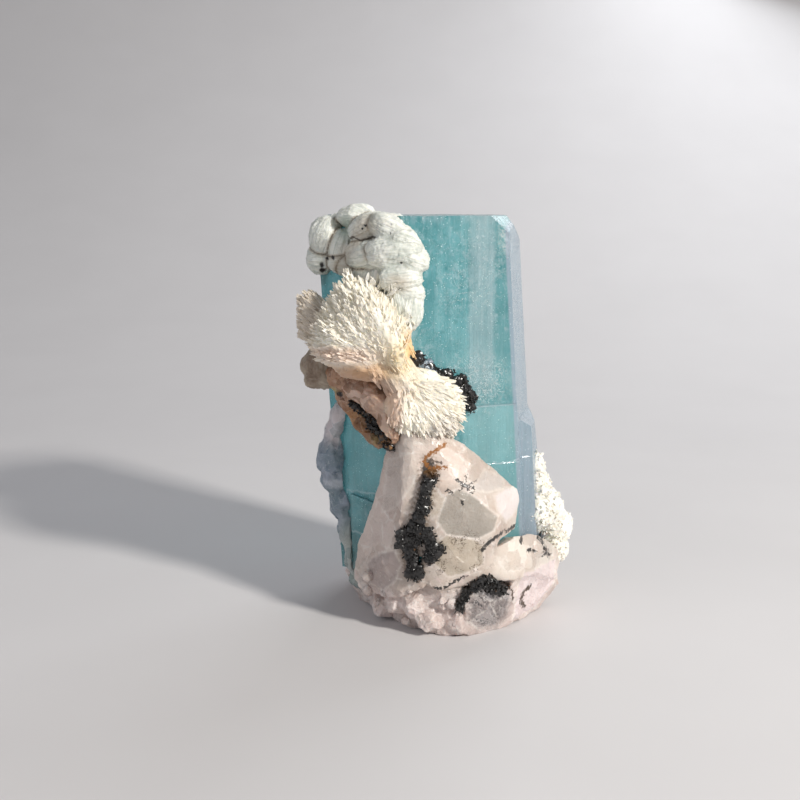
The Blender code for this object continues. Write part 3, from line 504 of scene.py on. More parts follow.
class Value:
    """A shader socket that Python's operators work on."""

    def __init__(self, bench: "Bench", socket: bpy.types.NodeSocket) -> None:
        """Hold a socket of a bench's node tree."""
        self.bench = bench
        self.socket = socket

    def math(self, operation: str, *others: Any) -> "Value":
        """Add a Math node.

        Args:
            operation: The node's operation.
            *others: Its further values.

        Returns:
            The node's result.
        """
        inputs = dict(enumerate((self, *others)))
        return self.bench.node("ShaderNodeMath", {"operation": operation}, inputs)

    def __add__(self, other: Any) -> "Value":
        """Sum."""
        return self.math("ADD", other)

    def __radd__(self, other: Any) -> "Value":
        """Sum, from the right."""
        return self.math("ADD", other)

    def __sub__(self, other: Any) -> "Value":
        """Difference."""
        return self.math("SUBTRACT", other)

    def __rsub__(self, other: Any) -> "Value":
        """Difference, from the right."""
        return self.bench.node("ShaderNodeMath", {"operation": "SUBTRACT"}, {0: other, 1: self})

    def __mul__(self, other: Any) -> "Value":
        """Product."""
        return self.math("MULTIPLY", other)

    def __rmul__(self, other: Any) -> "Value":
        """Product, from the right."""
        return self.math("MULTIPLY", other)

    def __truediv__(self, other: Any) -> "Value":
        """Quotient."""
        return self.math("DIVIDE", other)

    def __pow__(self, other: Any) -> "Value":
        """Power."""
        return self.math("POWER", other)

    def __abs__(self) -> "Value":
        """Size without sign."""
        return self.math("ABSOLUTE")

    def capped(self) -> "Value":
        """The value kept between 0 and 1."""
        return self.bench.node("ShaderNodeClamp", inputs={0: self})

    def least(self, other: Any) -> "Value":
        """The smaller of two values."""
        return self.math("MINIMUM", other)

    def most(self, other: Any) -> "Value":
        """The larger of two values."""
        return self.math("MAXIMUM", other)

    def rise(self, low: float, high: float) -> "Value":
        """Smooth step from 0 at one value to 1 at another.

        Args:
            low: The value that gives 0.
            high: The value that gives 1; it may be the smaller one.

        Returns:
            The step.
        """
        settings = {"interpolation_type": "SMOOTHSTEP", "clamp": False}
        if low < high:
            return self.bench.node("ShaderNodeMapRange", settings, {0: self, 1: low, 2: high})
        falling = self.bench.node("ShaderNodeMapRange", settings, {0: self, 1: high, 2: low})
        return 1.0 - falling


class Bench:
    """A material's node tree, and the one way in which nodes are added to it."""

    def __init__(self, name: str) -> None:
        """Start a material with nothing but its output.

        Args:
            name: The material's name.
        """
        self.material = bpy.data.materials.new(name)
        self.material.use_nodes = True
        self.tree = self.material.node_tree
        self.tree.nodes.clear()
        self.output = self.tree.nodes.new("ShaderNodeOutputMaterial")
        where = self.node("ShaderNodeTexCoord", outlet="Object")
        self.place = self.stretch(where, (1 / MM, 1 / MM, 1 / MM))
        self.x, self.y, self.z = self.parts(self.place)

    def node(
        self,
        kind: str,
        settings: dict[str, Any] | None = None,
        inputs: dict[Any, Any] | None = None,
        outlet: int | str = 0,
    ) -> Value:
        """Add a node.

        Args:
            kind: The node's type.
            settings: Its settings, which are set first.
            inputs: Values or links of its sockets, by index or name.
            outlet: The output to return.

        Returns:
            The output.
        """
        item = self.tree.nodes.new(kind)
        for key, value in (settings or {}).items():
            setattr(item, key, value)
        for key, value in (inputs or {}).items():
            if isinstance(value, Value):
                self.tree.links.new(value.socket, item.inputs[key])
            elif isinstance(value, tuple) and len(value) == 3 and item.inputs[key].type == "RGBA":
                item.inputs[key].default_value = (*value, 1.0)
            else:
                item.inputs[key].default_value = value
        return Value(self, item.outputs[outlet])

    def parts(self, vector: Value) -> tuple[Value, Value, Value]:
        """Split a vector into its three parts."""
        split = self.node("ShaderNodeSeparateXYZ", inputs={0: vector}).socket.node
        return tuple(Value(self, outlet) for outlet in split.outputs)

    def channels(self, colour: Value) -> tuple[Value, Value, Value]:
        """Split a colour into its three parts."""
        split = self.node("ShaderNodeSeparateColor", inputs={0: colour}).socket.node
        return tuple(Value(self, outlet) for outlet in split.outputs)

    def stretch(self, vector: Value, factors: Triple) -> Value:
        """Multiply a vector by three factors."""
        return self.node("ShaderNodeVectorMath", {"operation": "MULTIPLY"}, {0: vector, 1: factors})

    def joined(self, x: Any, y: Any, z: Any) -> Value:
        """Join three values to a vector."""
        return self.node("ShaderNodeCombineXYZ", inputs={0: x, 1: y, 2: z})

    def crevice(self) -> Value:
        """How deep in a crevice a point is, from the piece's own attribute, 0 to 1."""
        return self.node("ShaderNodeAttribute", {"attribute_name": "crevice"}, outlet="Fac")

    def own_map(self) -> Value:
        """The piece's own UV map."""
        return self.node("ShaderNodeTexCoord", outlet="UV")

    def warped(self, amount: float, scale: float) -> Value:
        """The place, pushed about by noise.

        Args:
            amount: How far it is pushed, in millimetres.
            scale: The noise's scale, in waves to a millimetre.

        Returns:
            The pushed place in millimetres.
        """
        inputs = {"Vector": self.place, "Scale": scale, "Detail": 2.0}
        push = self.channels(self.node("ShaderNodeTexNoise", inputs=inputs, outlet="Color"))
        own = (self.x, self.y, self.z)
        return self.joined(*(part * (2 * amount) + (at - amount) for part, at in zip(push, own)))

    def noise(
        self,
        scale: float,
        detail: float = 3.0,
        stretch: Triple = (1.0, 1.0, 1.0),
        where: Value | None = None,
        roughness: float = 0.55,
        distortion: float = 0.0,
    ) -> Value:
        """Noise between 0 and 1.

        Args:
            scale: Waves to a millimetre.
            detail: How many finer rounds are added.
            stretch: Factors on the place along each axis; below 1 the noise grows longer.
            where: The place to read, or nothing for the piece's own.
            roughness: How strong the finer rounds are.
            distortion: How much it is twisted.

        Returns:
            The noise.
        """
        source = where or self.place
        if stretch != (1.0, 1.0, 1.0):
            source = self.stretch(source, stretch)
        inputs = {
            "Vector": source,
            "Scale": scale,
            "Detail": detail,
            "Roughness": roughness,
            "Distortion": distortion,
        }
        return self.node("ShaderNodeTexNoise", inputs=inputs)

    def cells(self, scale: float, where: Value | None = None) -> Value:
        """Distance pattern of scattered cells.

        Args:
            scale: Cells to a millimetre.
            where: The place to read, or nothing for the piece's own.

        Returns:
            The distance.
        """
        inputs = {"Vector": where or self.place, "Scale": scale}
        return self.node("ShaderNodeTexVoronoi", {"feature": "F1"}, inputs, "Distance")

    def facets(self, scale: float, where: Value | None = None) -> tuple[Value, Value, Value]:
        """Flat facets of a broken surface.

        Args:
            scale: Facets to a millimetre.
            where: The place to read, or nothing for the piece's own.

        Returns:
            Each facet's own tone, its slope as a height, and its edge, 1 on the edge.
        """
        source = where or self.place
        inputs = {"Vector": source, "Scale": scale}
        cell = self.node("ShaderNodeTexVoronoi", {"feature": "F1"}, inputs, "Color")
        tones = self.channels(cell)
        middle = Value(self, cell.socket.node.outputs["Position"])
        edge = self.node(
            "ShaderNodeTexVoronoi", {"feature": "DISTANCE_TO_EDGE"}, inputs, "Distance"
        )
        offset = self.node(
            "ShaderNodeVectorMath", {"operation": "SUBTRACT"}, {0: source, 1: middle}
        )
        facing = self.joined(*(tone - 0.5 for tone in tones))
        slope = self.node(
            "ShaderNodeVectorMath", {"operation": "DOT_PRODUCT"}, {0: offset, 1: facing}, "Value"
        )
        return tones[0], slope * scale, edge.rise(0.07, 0.015)

    def polygon(self, corners: Sequence[Pair], where: Value) -> Value:
        """Depth inside a convex outline drawn on the front.

        Args:
            corners: Its corners as (across, up) in millimetres, anticlockwise.
            where: The place to read, laid flat.

        Returns:
            The depth in millimetres; below 0 it is the distance outside.
        """
        depth: Value | None = None
        for (x0, z0), (x1, z1) in zip(corners, (*corners[1:], corners[0])):
            length = math.hypot(x1 - x0, z1 - z0)
            side, rise = (x1 - x0) / length, (z1 - z0) / length
            reach = self.node(
                "ShaderNodeVectorMath",
                {"operation": "DOT_PRODUCT"},
                {0: where, 1: (-rise, 0.0, side)},
                "Value",
            )
            reach = reach + (x0 * rise - z0 * side)
            depth = reach if depth is None else depth.least(reach)
        return depth

    def spot(self, centre: Triple, radii: Triple, soft: float, where: Value | None = None) -> Value:
        """Mask of an ellipsoid.

        Args:
            centre: Its centre in millimetres.
            radii: Its three radii in millimetres.
            soft: How soft its edge is, as a share of the radii.
            where: The place to read, or nothing for the piece's own.

        Returns:
            1 inside and 0 outside.
        """
        offset = self.node(
            "ShaderNodeVectorMath", {"operation": "SUBTRACT"}, {0: where or self.place, 1: centre}
        )
        scaled = self.stretch(offset, tuple(1 / radius for radius in radii))
        reach = self.node("ShaderNodeVectorMath", {"operation": "LENGTH"}, {0: scaled}, "Value")
        return reach.rise(1.0 + soft, 1.0 - soft)

    def flat(self, across: Any, up: Any) -> Value:
        """A place on the front, laid flat."""
        return self.joined(across, 0.0, up)

    def reach(self, stops: Sequence[Pair], where: Value) -> Value:
        """Distance from a line drawn on the front.

        Args:
            stops: Its points as (across, up) in millimetres.
            where: The place to read, laid flat.

        Returns:
            The distance in millimetres.
        """
        kind = "ShaderNodeVectorMath"
        nearest: Value | None = None
        for (x0, z0), (x1, z1) in zip(stops, stops[1:]):
            side, rise = x1 - x0, z1 - z0
            square = side * side + rise * rise
            offset = self.node(kind, {"operation": "SUBTRACT"}, {0: where, 1: (x0, 0.0, z0)})
            share = (side / square, 0.0, rise / square)
            run = self.node(kind, {"operation": "DOT_PRODUCT"}, {0: offset, 1: share}, "Value")
            along = {0: (side, 0.0, rise), "Scale": run.capped()}
            run_out = self.node(kind, {"operation": "SCALE"}, along)
            gap = self.node(kind, {"operation": "DISTANCE"}, {0: offset, 1: run_out}, "Value")
            nearest = gap if nearest is None else nearest.least(gap)
        return nearest

    def stroke(self, stops: Sequence[Pair], width: float, where: Value) -> Value:
        """Mask of a line drawn on the front.

        Args:
            stops: Its points as (across, up) in millimetres.
            width: Its width in millimetres.
            where: The place to read, laid flat.

        Returns:
            1 on the line and 0 beside it.
        """
        return self.reach(stops, where).rise(0.62 * width, 0.3 * width)

    def blend(self, first: Any, second: Any, share: Any) -> Value:
        """Mix two colours.

        Args:
            first: The colour at share 0.
            second: The colour at share 1.
            share: The share.

        Returns:
            The mixed colour.
        """
        settings = {"data_type": "RGBA", "blend_type": "MIX"}
        return self.node("ShaderNodeMix", settings, {0: share, 6: first, 7: second}, outlet=2)

    def tinted(self, colour: Any, tint: Any, share: Any) -> Value:
        """Multiply a colour by a tint, by a share."""
        settings = {"data_type": "RGBA", "blend_type": "MULTIPLY"}
        return self.node("ShaderNodeMix", settings, {0: share, 6: colour, 7: tint}, outlet=2)

    def bump(self, height: Value, distance: float, strength: float = 1.0) -> Value:
        """Small relief.

        Args:
            height: The relief's height, 0 to 1.
            distance: What height 1 stands for, in millimetres.
            strength: How strong it is.

        Returns:
            The normal.
        """
        inputs = {"Height": height, "Distance": distance * MM, "Strength": strength}
        return self.node("ShaderNodeBump", inputs=inputs)

    def finish(self, **sockets: Any) -> bpy.types.Material:
        """Close the material with one Principled shader.

        Args:
            **sockets: Its sockets by name, with _ for a space.

        Returns:
            The material.
        """
        inputs = {key.replace("_", " "): value for key, value in sockets.items()}
        surface = self.node("ShaderNodeBsdfPrincipled", inputs=inputs)
        self.tree.links.new(surface.socket, self.output.inputs["Surface"])
        return self.material


# --- Finishes -------------------------------------------------------------------------------------


@dataclass(frozen=True)
class AquamarineFinish:
    """Blue-green beryl, cloudy in parts, with white veils, sparkles and healed cracks."""

    deep: Triple = (0.095, 0.36, 0.39)
    fair: Triple = (0.23, 0.57, 0.61)
    light: Triple = (0.42, 0.78, 0.82)
    veil: Triple = (0.62, 0.80, 0.86)
    lilac: Triple = (0.60, 0.66, 0.80)
    white: Triple = (0.86, 0.92, 0.93)
    clearness: float = 0.55

    def build(self) -> bpy.types.Material:
        """Build the material.

        Returns:
            The material.
        """
        bench = Bench("aquamarine_beryl")
        x, y, z = bench.x, bench.y, bench.z
        u = x + z * 0.065 - 1.5
        v = y - 1.0
        on_front = (u * 0.3173 - v * 0.9483).rise(20.3, 20.8)
        on_right = (u * 0.9799 - v * 0.1994).rise(20.2, 20.7)
        on_left = (u * -0.6626 - v * 0.7490).rise(20.2, 20.7)
        moved = bench.warped(0.9, 0.35)
        mx, _, mz = bench.parts(moved)

        clouds = bench.noise(0.11, 3.0)
        fibres = bench.noise(1.1, 4.0, (1.5, 1.5, 0.045))
        broad = bench.noise(0.35, 3.0, (1.0, 1.0, 0.12))
        fine = bench.noise(2.4, 3.0)
        colour = bench.blend(self.deep, self.fair, clouds.rise(0.25, 0.75))
        colour = bench.blend(colour, self.light, broad.rise(0.45, 0.8) * 0.45)
        colour = bench.blend(colour, self.veil, fibres.rise(0.5, 0.85) * 0.32)

        lower = z.rise(50.7, 50.1) * x.rise(4.0, 5.0) * on_front
        colour = bench.blend(colour, self.light, lower * 0.55)
        bottom = mz.rise(37.8, 37.2) * x.rise(9.0, 10.0) * on_front
        colour = bench.blend(colour, self.fair, bottom * 0.5)

        streak = mx.rise(4.6, 6.4) * mx.rise(12.0, 10.4) * z.rise(50, 60) * on_front
        streak = streak * (fibres * 0.6 + broad * 0.5)
        colour = bench.blend(colour, self.veil, streak * 0.9)

        mottled = bench.spot((-1.0, -21.0, 76.0), (8.0, 8.0, 15.0), 0.35)
        speckling = bench.noise(0.8, 4.0).rise(0.5, 0.66)
        colour = bench.blend(colour, self.deep, mottled * speckling * 0.7)
        sparks = bench.cells(1.5, where=moved).rise(0.20, 0.06)
        sparks = sparks * bench.noise(0.3, 2.0).rise(0.36, 0.52)
        colour = bench.blend(colour, self.white, sparks * (mottled * 0.55 + 0.35))
        haze = bench.noise(1.3, 4.0).rise(0.56, 0.72) * bench.noise(0.16, 2.0).rise(0.4, 0.6)
        colour = bench.blend(colour, self.veil, haze * z.rise(52.0, 58.0) * 0.6)

        frost = bench.noise(0.9, 4.0, (1.0, 1.0, 0.6)).rise(0.48, 0.66)
        frost = frost * bench.noise(0.13, 2.0, (1.0, 1.0, 0.6)).rise(0.42, 0.58)
        colour = bench.blend(colour, self.veil, frost * (on_left * 0.3 + 0.34))
        glints = bench.cells(2.6, where=moved).rise(0.26, 0.10) * frost
        colour = bench.blend(colour, self.white, glints * 0.75)

        web = abs(bench.noise(0.42, 3.0, distortion=2.6) - 0.5).rise(0.035, 0.008)
        curls = bench.spot((6.5, -18.6, 56.5), (8.5, 7.0, 5.4), 0.4) * on_front
        threads = web * (curls * 0.5 + bench.noise(0.09, 2.0).rise(0.45, 0.7) * 0.3)
        colour = bench.blend(colour, self.white, threads)

        level_crack = ((4.6, 50.5), (9.0, 50.35), (16.2, 50.4))
        cracks = bench.stroke(level_crack, 0.5, bench.flat(mx * 0.2 + x * 0.8, z))
        cracks = cracks.most(bench.stroke(((11.2, 37.3), (17.6, 37.6)), 0.4, bench.flat(x, mz)))
        colour = bench.blend(colour, self.veil, cracks * on_front * 0.6)
        chip = bench.spot((13.5, -15.2, 88.3), (1.7, 3.4, 4.6), 0.5, moved)
        crushed = fine.rise(0.42, 0.62)
        colour = bench.blend(colour, self.white, chip * crushed * 0.7)

        # Painted light and painted reflection: the right face is made lighter and lilac, as a
        # brightly lit face.
        colour = bench.blend(colour, self.lilac, on_right * (fibres * 0.35 + 0.55))
        # Painted shade: the left face is darkened, as the side turned from the light; a painted
        # pool of light then lightens one patch on it.
        colour = bench.tinted(colour, (0.80, 0.88, 0.92), on_left * 0.3)
        lit = bench.spot((-19.0, -13.0, 38.0), (6.0, 9.0, 7.0), 0.6) * on_left
        colour = bench.blend(colour, self.light, lit * 0.35)
        etched = on_left * mz.rise(29.6, 29.0) * mz.rise(18.6, 19.4)
        etching = bench.noise(0.7, 4.0).rise(0.45, 0.7)
        colour = bench.blend(colour, self.light, etched * etching * 0.5)
        frame_line = bench.stroke(
            ((-14.0, 19.2), (-21.0, 19.6), (-21.8, 28.8), (-13.6, 29.6)), 0.5, bench.flat(mx, mz)
        )
        colour = bench.blend(colour, self.veil, frame_line * on_left * 0.7)
        foot = z.rise(22.0, 8.0) * on_left
        colour = bench.blend(colour, (0.36, 0.42, 0.38), foot * 0.6)
        rim = bench.noise(0.6, 3.0, (1.0, 1.0, 0.2)).rise(0.4, 0.7) * z.rise(89.6, 91.6)
        colour = bench.blend(colour, self.veil, rim * 0.5)

        rough = fibres * 0.16 + sparks * 0.2 + chip * 0.3 + threads * 0.2 + 0.10
        height = fibres * 0.5 + broad * 0.3 + fine * 0.12 + web * 0.1 + cracks * 0.4
        height = height + frost * 0.12
        shader = bench.material
        density = {"Color": (0.34, 0.76, 0.80), "Density": 22.0}
        volume = bench.node("ShaderNodeVolumeAbsorption", inputs=density)
        bench.tree.links.new(volume.socket, bench.output.inputs["Volume"])
        bench.finish(
            Base_Color=colour,
            Roughness=rough,
            IOR=1.575,
            Transmission_Weight=self.clearness,
            Normal=bench.bump(height, 0.25, 0.55),
        )
        return shader


@dataclass(frozen=True)
class AlbiteFinish:
    """White albite in striated lobes, with painted tan and dark shade in its hollows, and a few
    black specks.
    """

    name: str = "albite_white"
    white: Triple = (0.85, 0.86, 0.80)
    grey: Triple = (0.46, 0.51, 0.46)
    tan: Triple = (0.42, 0.33, 0.23)
    green: Triple = (0.40, 0.50, 0.42)
    # Near-black of the painted shade deep in the crevices.
    dirt_and_shade: Triple = (0.13, 0.105, 0.075)
    specks: tuple[tuple[float, float, float, float], ...] = (
        (-26.9, -10.5, 81.1, 0.55),
        (-25.7, -10.7, 82.4, 0.5),
        (-26.7, -9.6, 80.1, 0.7),
        (-24.2, -12.6, 82.7, 0.4),
        (-9.1, -24.9, 82.2, 0.28),
        (-11.6, -23.9, 88.2, 0.22),
        (-16.9, -20.4, 90.0, 0.3),
        (-17.6, -20.0, 89.0, 0.24),
        (-15.8, -20.8, 89.2, 0.2),
    )
    tan_places: tuple[tuple[float, float, float, float], ...] = (
        (-16.4, -19.6, 89.6, 3.4),
        (-20.4, -16.4, 84.4, 3.2),
        (-22.2, -13.8, 80.8, 3.0),
        (-9.8, -24.6, 78.2, 2.4),
        (-18.6, -18.6, 87.0, 2.0),
    )

    def build(self) -> bpy.types.Material:
        """Build the material.

        Returns:
            The material.
        """
        bench = Bench(self.name)
        moved = bench.warped(0.8, 0.5)
        own = bench.own_map()
        ribs = bench.noise(1.0, 4.0, (1.7, 0.8, 1.0), own, 0.62)
        threads = bench.noise(1.0, 2.0, (5.5, 2.0, 1.0), own, 0.6)
        cloud = bench.noise(0.22, 4.0)
        fine = bench.noise(2.2, 3.0)
        colour = bench.blend(self.white, self.grey, cloud.rise(0.42, 0.78) * 0.75)
        fibres = bench.noise(1.0, 3.0, (3.4, 0.45, 1.0), own, 0.6)
        colour = bench.blend(colour, self.grey, fibres.rise(0.48, 0.66) * 0.75)
        colour = bench.blend(colour, self.tan, ribs.rise(0.54, 0.74) * 0.30)
        colour = bench.blend(colour, self.white, threads.rise(0.52, 0.72) * 0.5)
        # Painted shade: tan and near-black in the crevices between the lobes, stronger on the left
        # front, the side turned from the light.
        left_front = bench.x.rise(-13.0, -18.0) * bench.y.rise(0.0, -6.0)
        hollow = bench.crevice() * (left_front * 0.85 + 0.15)
        flecks = bench.noise(1.4, 3.0)
        colour = bench.blend(colour, self.tan, hollow.rise(0.25, 0.85) * (flecks * 0.7 + 0.25))
        painted_crevice_shade = hollow.rise(0.7, 0.95) * flecks.rise(0.35, 0.5)
        colour = bench.blend(colour, self.dirt_and_shade, painted_crevice_shade * 0.85)
        patches = bench.noise(0.45, 3.0)
        ashen = patches.rise(0.5, 0.62) * flecks.rise(0.6, 0.45)
        colour = bench.blend(colour, self.grey, ashen * 0.35)
        colour = bench.blend(colour, self.white, flecks.rise(0.56, 0.64) * 0.35)
        for px, py, pz, reach in self.tan_places:
            patch = bench.spot((px, py, pz), (reach, reach, reach * 0.8), 0.5, moved)
            colour = bench.blend(colour, self.tan, patch * (ribs * 0.6 + 0.15))
        gap = bench.spot((-21.2, -14.0, 89.2), (1.6, 3.0, 2.6), 0.6, moved)
        colour = bench.blend(colour, self.green, gap * 0.6)
        moved_x, _, moved_z = bench.parts(moved)
        moved_flat = bench.flat(moved_x, moved_z)
        line = bench.stroke(((-20.6, 87.4), (-17.4, 86.6), (-14.6, 87.5)), 0.5, moved_flat)
        front = bench.y.rise(-12.0, -14.0)
        colour = bench.blend(colour, (0.05, 0.035, 0.02), line * front * 0.8)
        for px, py, pz, reach in self.specks:
            dot = bench.spot((px, py, pz), (reach, reach * 2.5, reach), 0.35, moved)
            colour = bench.blend(colour, (0.012, 0.010, 0.010), dot)
        rough = 0.34 + cloud * 0.25
        height = ribs * 0.5 + fibres * 1.1 + threads * 0.3 + fine * 0.2
        return bench.finish(
            Base_Color=colour,
            Roughness=rough,
            Subsurface_Weight=0.25,
            Subsurface_Radius=(0.0022, 0.0020, 0.0016),
            Subsurface_Scale=1.0,
            IOR=FELDSPAR_IOR,
            Normal=bench.bump(height, 0.22, 0.8),
        )


@dataclass(frozen=True)
class Zone:
    """A patch of another colour: middle, radii, softness, colour and strength."""

    middle: Triple
    radii: Triple
    soft: float
    colour: Triple
    share: float


@dataclass(frozen=True)
class Facet:
    """A flat facet on the front: corners as (x, z), colour, strength and slope."""

    corners: tuple[Pair, ...]
    colour: Triple
    share: float
    slope: Pair


@dataclass(frozen=True)
class Mark:
    """A drawn mark on the front: stops as (x, z), width, colour and strength."""

    stops: tuple[Pair, ...]
    width: float
    colour: Triple
    share: float = 0.95


def paint_zones(bench: Bench, colour: Any, zones: Sequence[Zone], where: Value) -> Any:
    """Lay soft patches of other colours over a colour.

    Args:
        bench: The material's bench.
        colour: The colour below.
        zones: The patches.
        where: The place to read.

    Returns:
        The colour with the patches.
    """
    for zone in zones:
        mask = bench.spot(zone.middle, zone.radii, zone.soft, where)
        colour = bench.blend(colour, zone.colour, mask * zone.share)
    return colour


def paint_marks(
    bench: Bench, colour: Any, marks: Sequence[Mark], where: Value, front: Value, breaks: Value
) -> Any:
    """Draw broken marks over a colour.

    Args:
        bench: The material's bench.
        colour: The colour below.
        marks: The marks.
        where: The place to read.
        front: Mask of the side that carries them.
        breaks: Noise that thins and breaks them, 0 to 1.

    Returns:
        The colour with the marks.
    """
    across, _, up = bench.parts(where)
    level = bench.flat(across, up)
    for mark in marks:
        line = bench.stroke(mark.stops, mark.width, level)
        colour = bench.blend(colour, mark.colour, line * front * breaks * mark.share)
    return colour


@dataclass(frozen=True)
class CreamBladeFinish:
    """Cream cleavelandite: fine pearly blades, peach below with painted shade under the upper fan,
    and yellow at the waist.
    """

    name: str = "cleavelandite_cream"
    cream: Triple = (0.97, 0.90, 0.74)
    light: Triple = (0.98, 0.95, 0.86)
    shade: Triple = (0.88, 0.75, 0.56)
    zones: tuple[Zone, ...] = (
        # The first zone is painted shade on the upper fan's left end. The second and third are
        # peach-brown under the upper fan: partly its own colour, partly painted shade of the recess
        # below the fan's lip.
        Zone((-30.0, -15.0, 69.0), (4.2, 9.0, 8.0), 0.35, (0.66, 0.54, 0.42), 0.7),
        Zone((-18.0, -22.0, 56.0), (11.0, 9.0, 5.4), 0.4, (0.58, 0.36, 0.24), 0.9),
        Zone((-15.0, -24.0, 59.6), (6.0, 9.0, 1.8), 0.5, (0.56, 0.32, 0.16), 0.8),
        Zone((-21.0, -24.0, 63.0), (8.0, 9.0, 1.8), 0.6, (0.82, 0.58, 0.44), 0.7),
        Zone((-9.0, -28.0, 62.5), (4.6, 5.0, 5.0), 0.6, (0.88, 0.72, 0.44), 0.6),
        Zone((-6.8, -26.0, 64.6), (2.2, 4.0, 3.0), 0.5, (0.86, 0.52, 0.20), 0.8),
        Zone((-11.0, -27.0, 50.5), (1.8, 5.0, 4.2), 0.6, (0.78, 0.50, 0.34), 0.7),
        Zone((0.5, -26.0, 46.5), (4.0, 6.0, 3.0), 0.6, (0.62, 0.56, 0.50), 0.5),
    )

    def build(self) -> bpy.types.Material:
        """Build the material.

        Returns:
            The material.
        """
        bench = Bench(self.name)
        moved = bench.warped(0.7, 0.45)
        own = bench.own_map()
        ribs = bench.noise(1.0, 3.0, (2.4, 1.0, 1.0), own, 0.6)
        tone = bench.noise(0.9, 1.0, (0.5, 0.3, 1.0), own)
        fine = bench.noise(2.6, 3.0)
        dirt_and_shade = bench.noise(0.45, 4.0)
        colour = bench.blend(self.cream, self.light, tone.rise(0.35, 0.7))
        colour = bench.blend(colour, self.shade, ribs.rise(0.56, 0.8) * 0.4)
        hollow = bench.crevice().rise(0.3, 0.95)
        colour = bench.blend(colour, self.shade, hollow * 0.3)
        colour = paint_zones(bench, colour, self.zones, moved)
        colour = bench.blend(colour, self.shade, dirt_and_shade.rise(0.6, 0.8) * 0.4)
        grit = bench.cells(0.55, where=moved).rise(0.10, 0.03)
        colour = bench.blend(colour, (0.10, 0.07, 0.05), grit * 0.7)
        rough = 0.36 + ribs * 0.25
        height = ribs * 0.7 + fine * 0.3
        return bench.finish(
            Base_Color=colour,
            Roughness=rough,
            Subsurface_Weight=0.25,
            Subsurface_Radius=(0.0026, 0.0021, 0.0014),
            Subsurface_Scale=1.0,
            IOR=FELDSPAR_IOR,
            Normal=bench.bump(height, 0.16, 0.8),
        )


@dataclass(frozen=True)
class FeldsparFinish:
    """Peach-brown feldspar with orange stains, green tints and black flecks."""

    brown: Triple = (0.25, 0.12, 0.06)
    peach: Triple = (0.46, 0.27, 0.17)
    pale: Triple = (0.66, 0.48, 0.38)
    zones: tuple[Zone, ...] = (
        Zone((-17.6, -20.0, 52.6), (4.6, 6.0, 3.2), 0.5, (0.68, 0.50, 0.41), 0.8),
        Zone((-19.0, -17.0, 47.6), (2.6, 4.0, 3.0), 0.7, (0.42, 0.19, 0.05), 0.8),
        Zone((-24.4, -12.6, 53.4), (1.3, 3.0, 1.0), 0.7, (0.42, 0.42, 0.16), 0.5),
        Zone((-14.6, -20.4, 43.2), (1.6, 4.0, 1.0), 0.7, (0.36, 0.32, 0.12), 0.5),
        Zone((-23.2, -13.8, 52.5), (0.8, 2.5, 0.7), 0.4, (0.02, 0.015, 0.012), 0.95),
        Zone((-12.2, -24.0, 48.4), (2.6, 4.0, 4.6), 0.6, (0.74, 0.55, 0.44), 0.7),
        Zone((-16.0, -19.4, 47.4), (4.4, 3.2, 2.3), 0.5, (0.06, 0.035, 0.02), 0.75),
    )

    def build(self) -> bpy.types.Material:
        """Build the material.

        Returns:
            The material.
        """
        bench = Bench("feldspar_peach")
        moved = bench.warped(1.0, 0.4)
        cloud = bench.noise(0.2, 4.0)
        bands = bench.noise(0.7, 3.0, (0.35, 1.0, 1.5))
        fine = bench.noise(2.0, 4.0)
        colour = bench.blend(self.brown, self.peach, cloud.rise(0.3, 0.65))
        colour = bench.blend(colour, self.pale, bands.rise(0.5, 0.75) * 0.5)
        colour = paint_zones(bench, colour, self.zones, moved)
        tone, slope, edge = bench.facets(0.42, moved)
        colour = bench.tinted(colour, (0.50, 0.42, 0.34), tone.rise(0.6, 0.2) * 0.8)
        colour = bench.blend(colour, self.pale, edge * fine.rise(0.45, 0.6) * 0.4)
        flecks = bench.cells(0.5, where=moved).rise(0.14, 0.05)
        colour = bench.blend(colour, (0.05, 0.03, 0.02), flecks * cloud.rise(0.45, 0.6) * 0.8)
        rough = 0.22 + fine * 0.3
        return bench.finish(
            Base_Color=colour,
            Roughness=rough,
            Subsurface_Weight=0.25,
            Subsurface_Radius=(0.0028, 0.0014, 0.0008),
            Subsurface_Scale=1.0,
            IOR=FELDSPAR_IOR,
            Normal=bench.bump(bands * 0.4 + fine * 0.4 + slope * 1.6, 0.5, 0.8),
        )


@dataclass(frozen=True)
class TourmalineFinish:
    """Black tourmaline with fine lengthwise lines and rusty ends."""

    name: str = "tourmaline_black"
    rust: float = 0.1

    def build(self) -> bpy.types.Material:
        """Build the material.

        Returns:
            The material.
        """
        bench = Bench(self.name)
        lines = bench.noise(1.0, 2.0, (4.0, 1.0, 1.0), bench.own_map())
        cloud = bench.noise(0.5, 3.0)
        colour = bench.blend((0.004, 0.004, 0.0045), (0.018, 0.016, 0.015), lines)
        rusty = cloud.rise(0.72 - self.rust * 0.4, 0.80 - self.rust * 0.4)
        hook = bench.spot((-2.6, -27.0, 41.0), (3.6, 6.0, 3.4), 0.4)
        rusty = rusty.most(hook * cloud.rise(0.32, 0.45))
        colour = bench.blend(colour, (0.22, 0.10, 0.025), rusty * 0.85)
        # Painted glints: grey specks over the black stand in for light glittering on its faces.
        painted_glints = bench.noise(1.7, 2.0).rise(0.72, 0.8)
        colour = bench.blend(colour, (0.30, 0.30, 0.30), painted_glints * 0.3)
        rough = 0.16 + lines * 0.25 + rusty * 0.3
        return bench.finish(
            Base_Color=colour,
            Roughness=rough,
            IOR=1.63,
            Normal=bench.bump(lines, 0.06, 0.8),
        )


BLACK: Triple = (0.010, 0.009, 0.009)
SEPIA: Triple = (0.055, 0.030, 0.014)
RUST: Triple = (0.30, 0.12, 0.025)


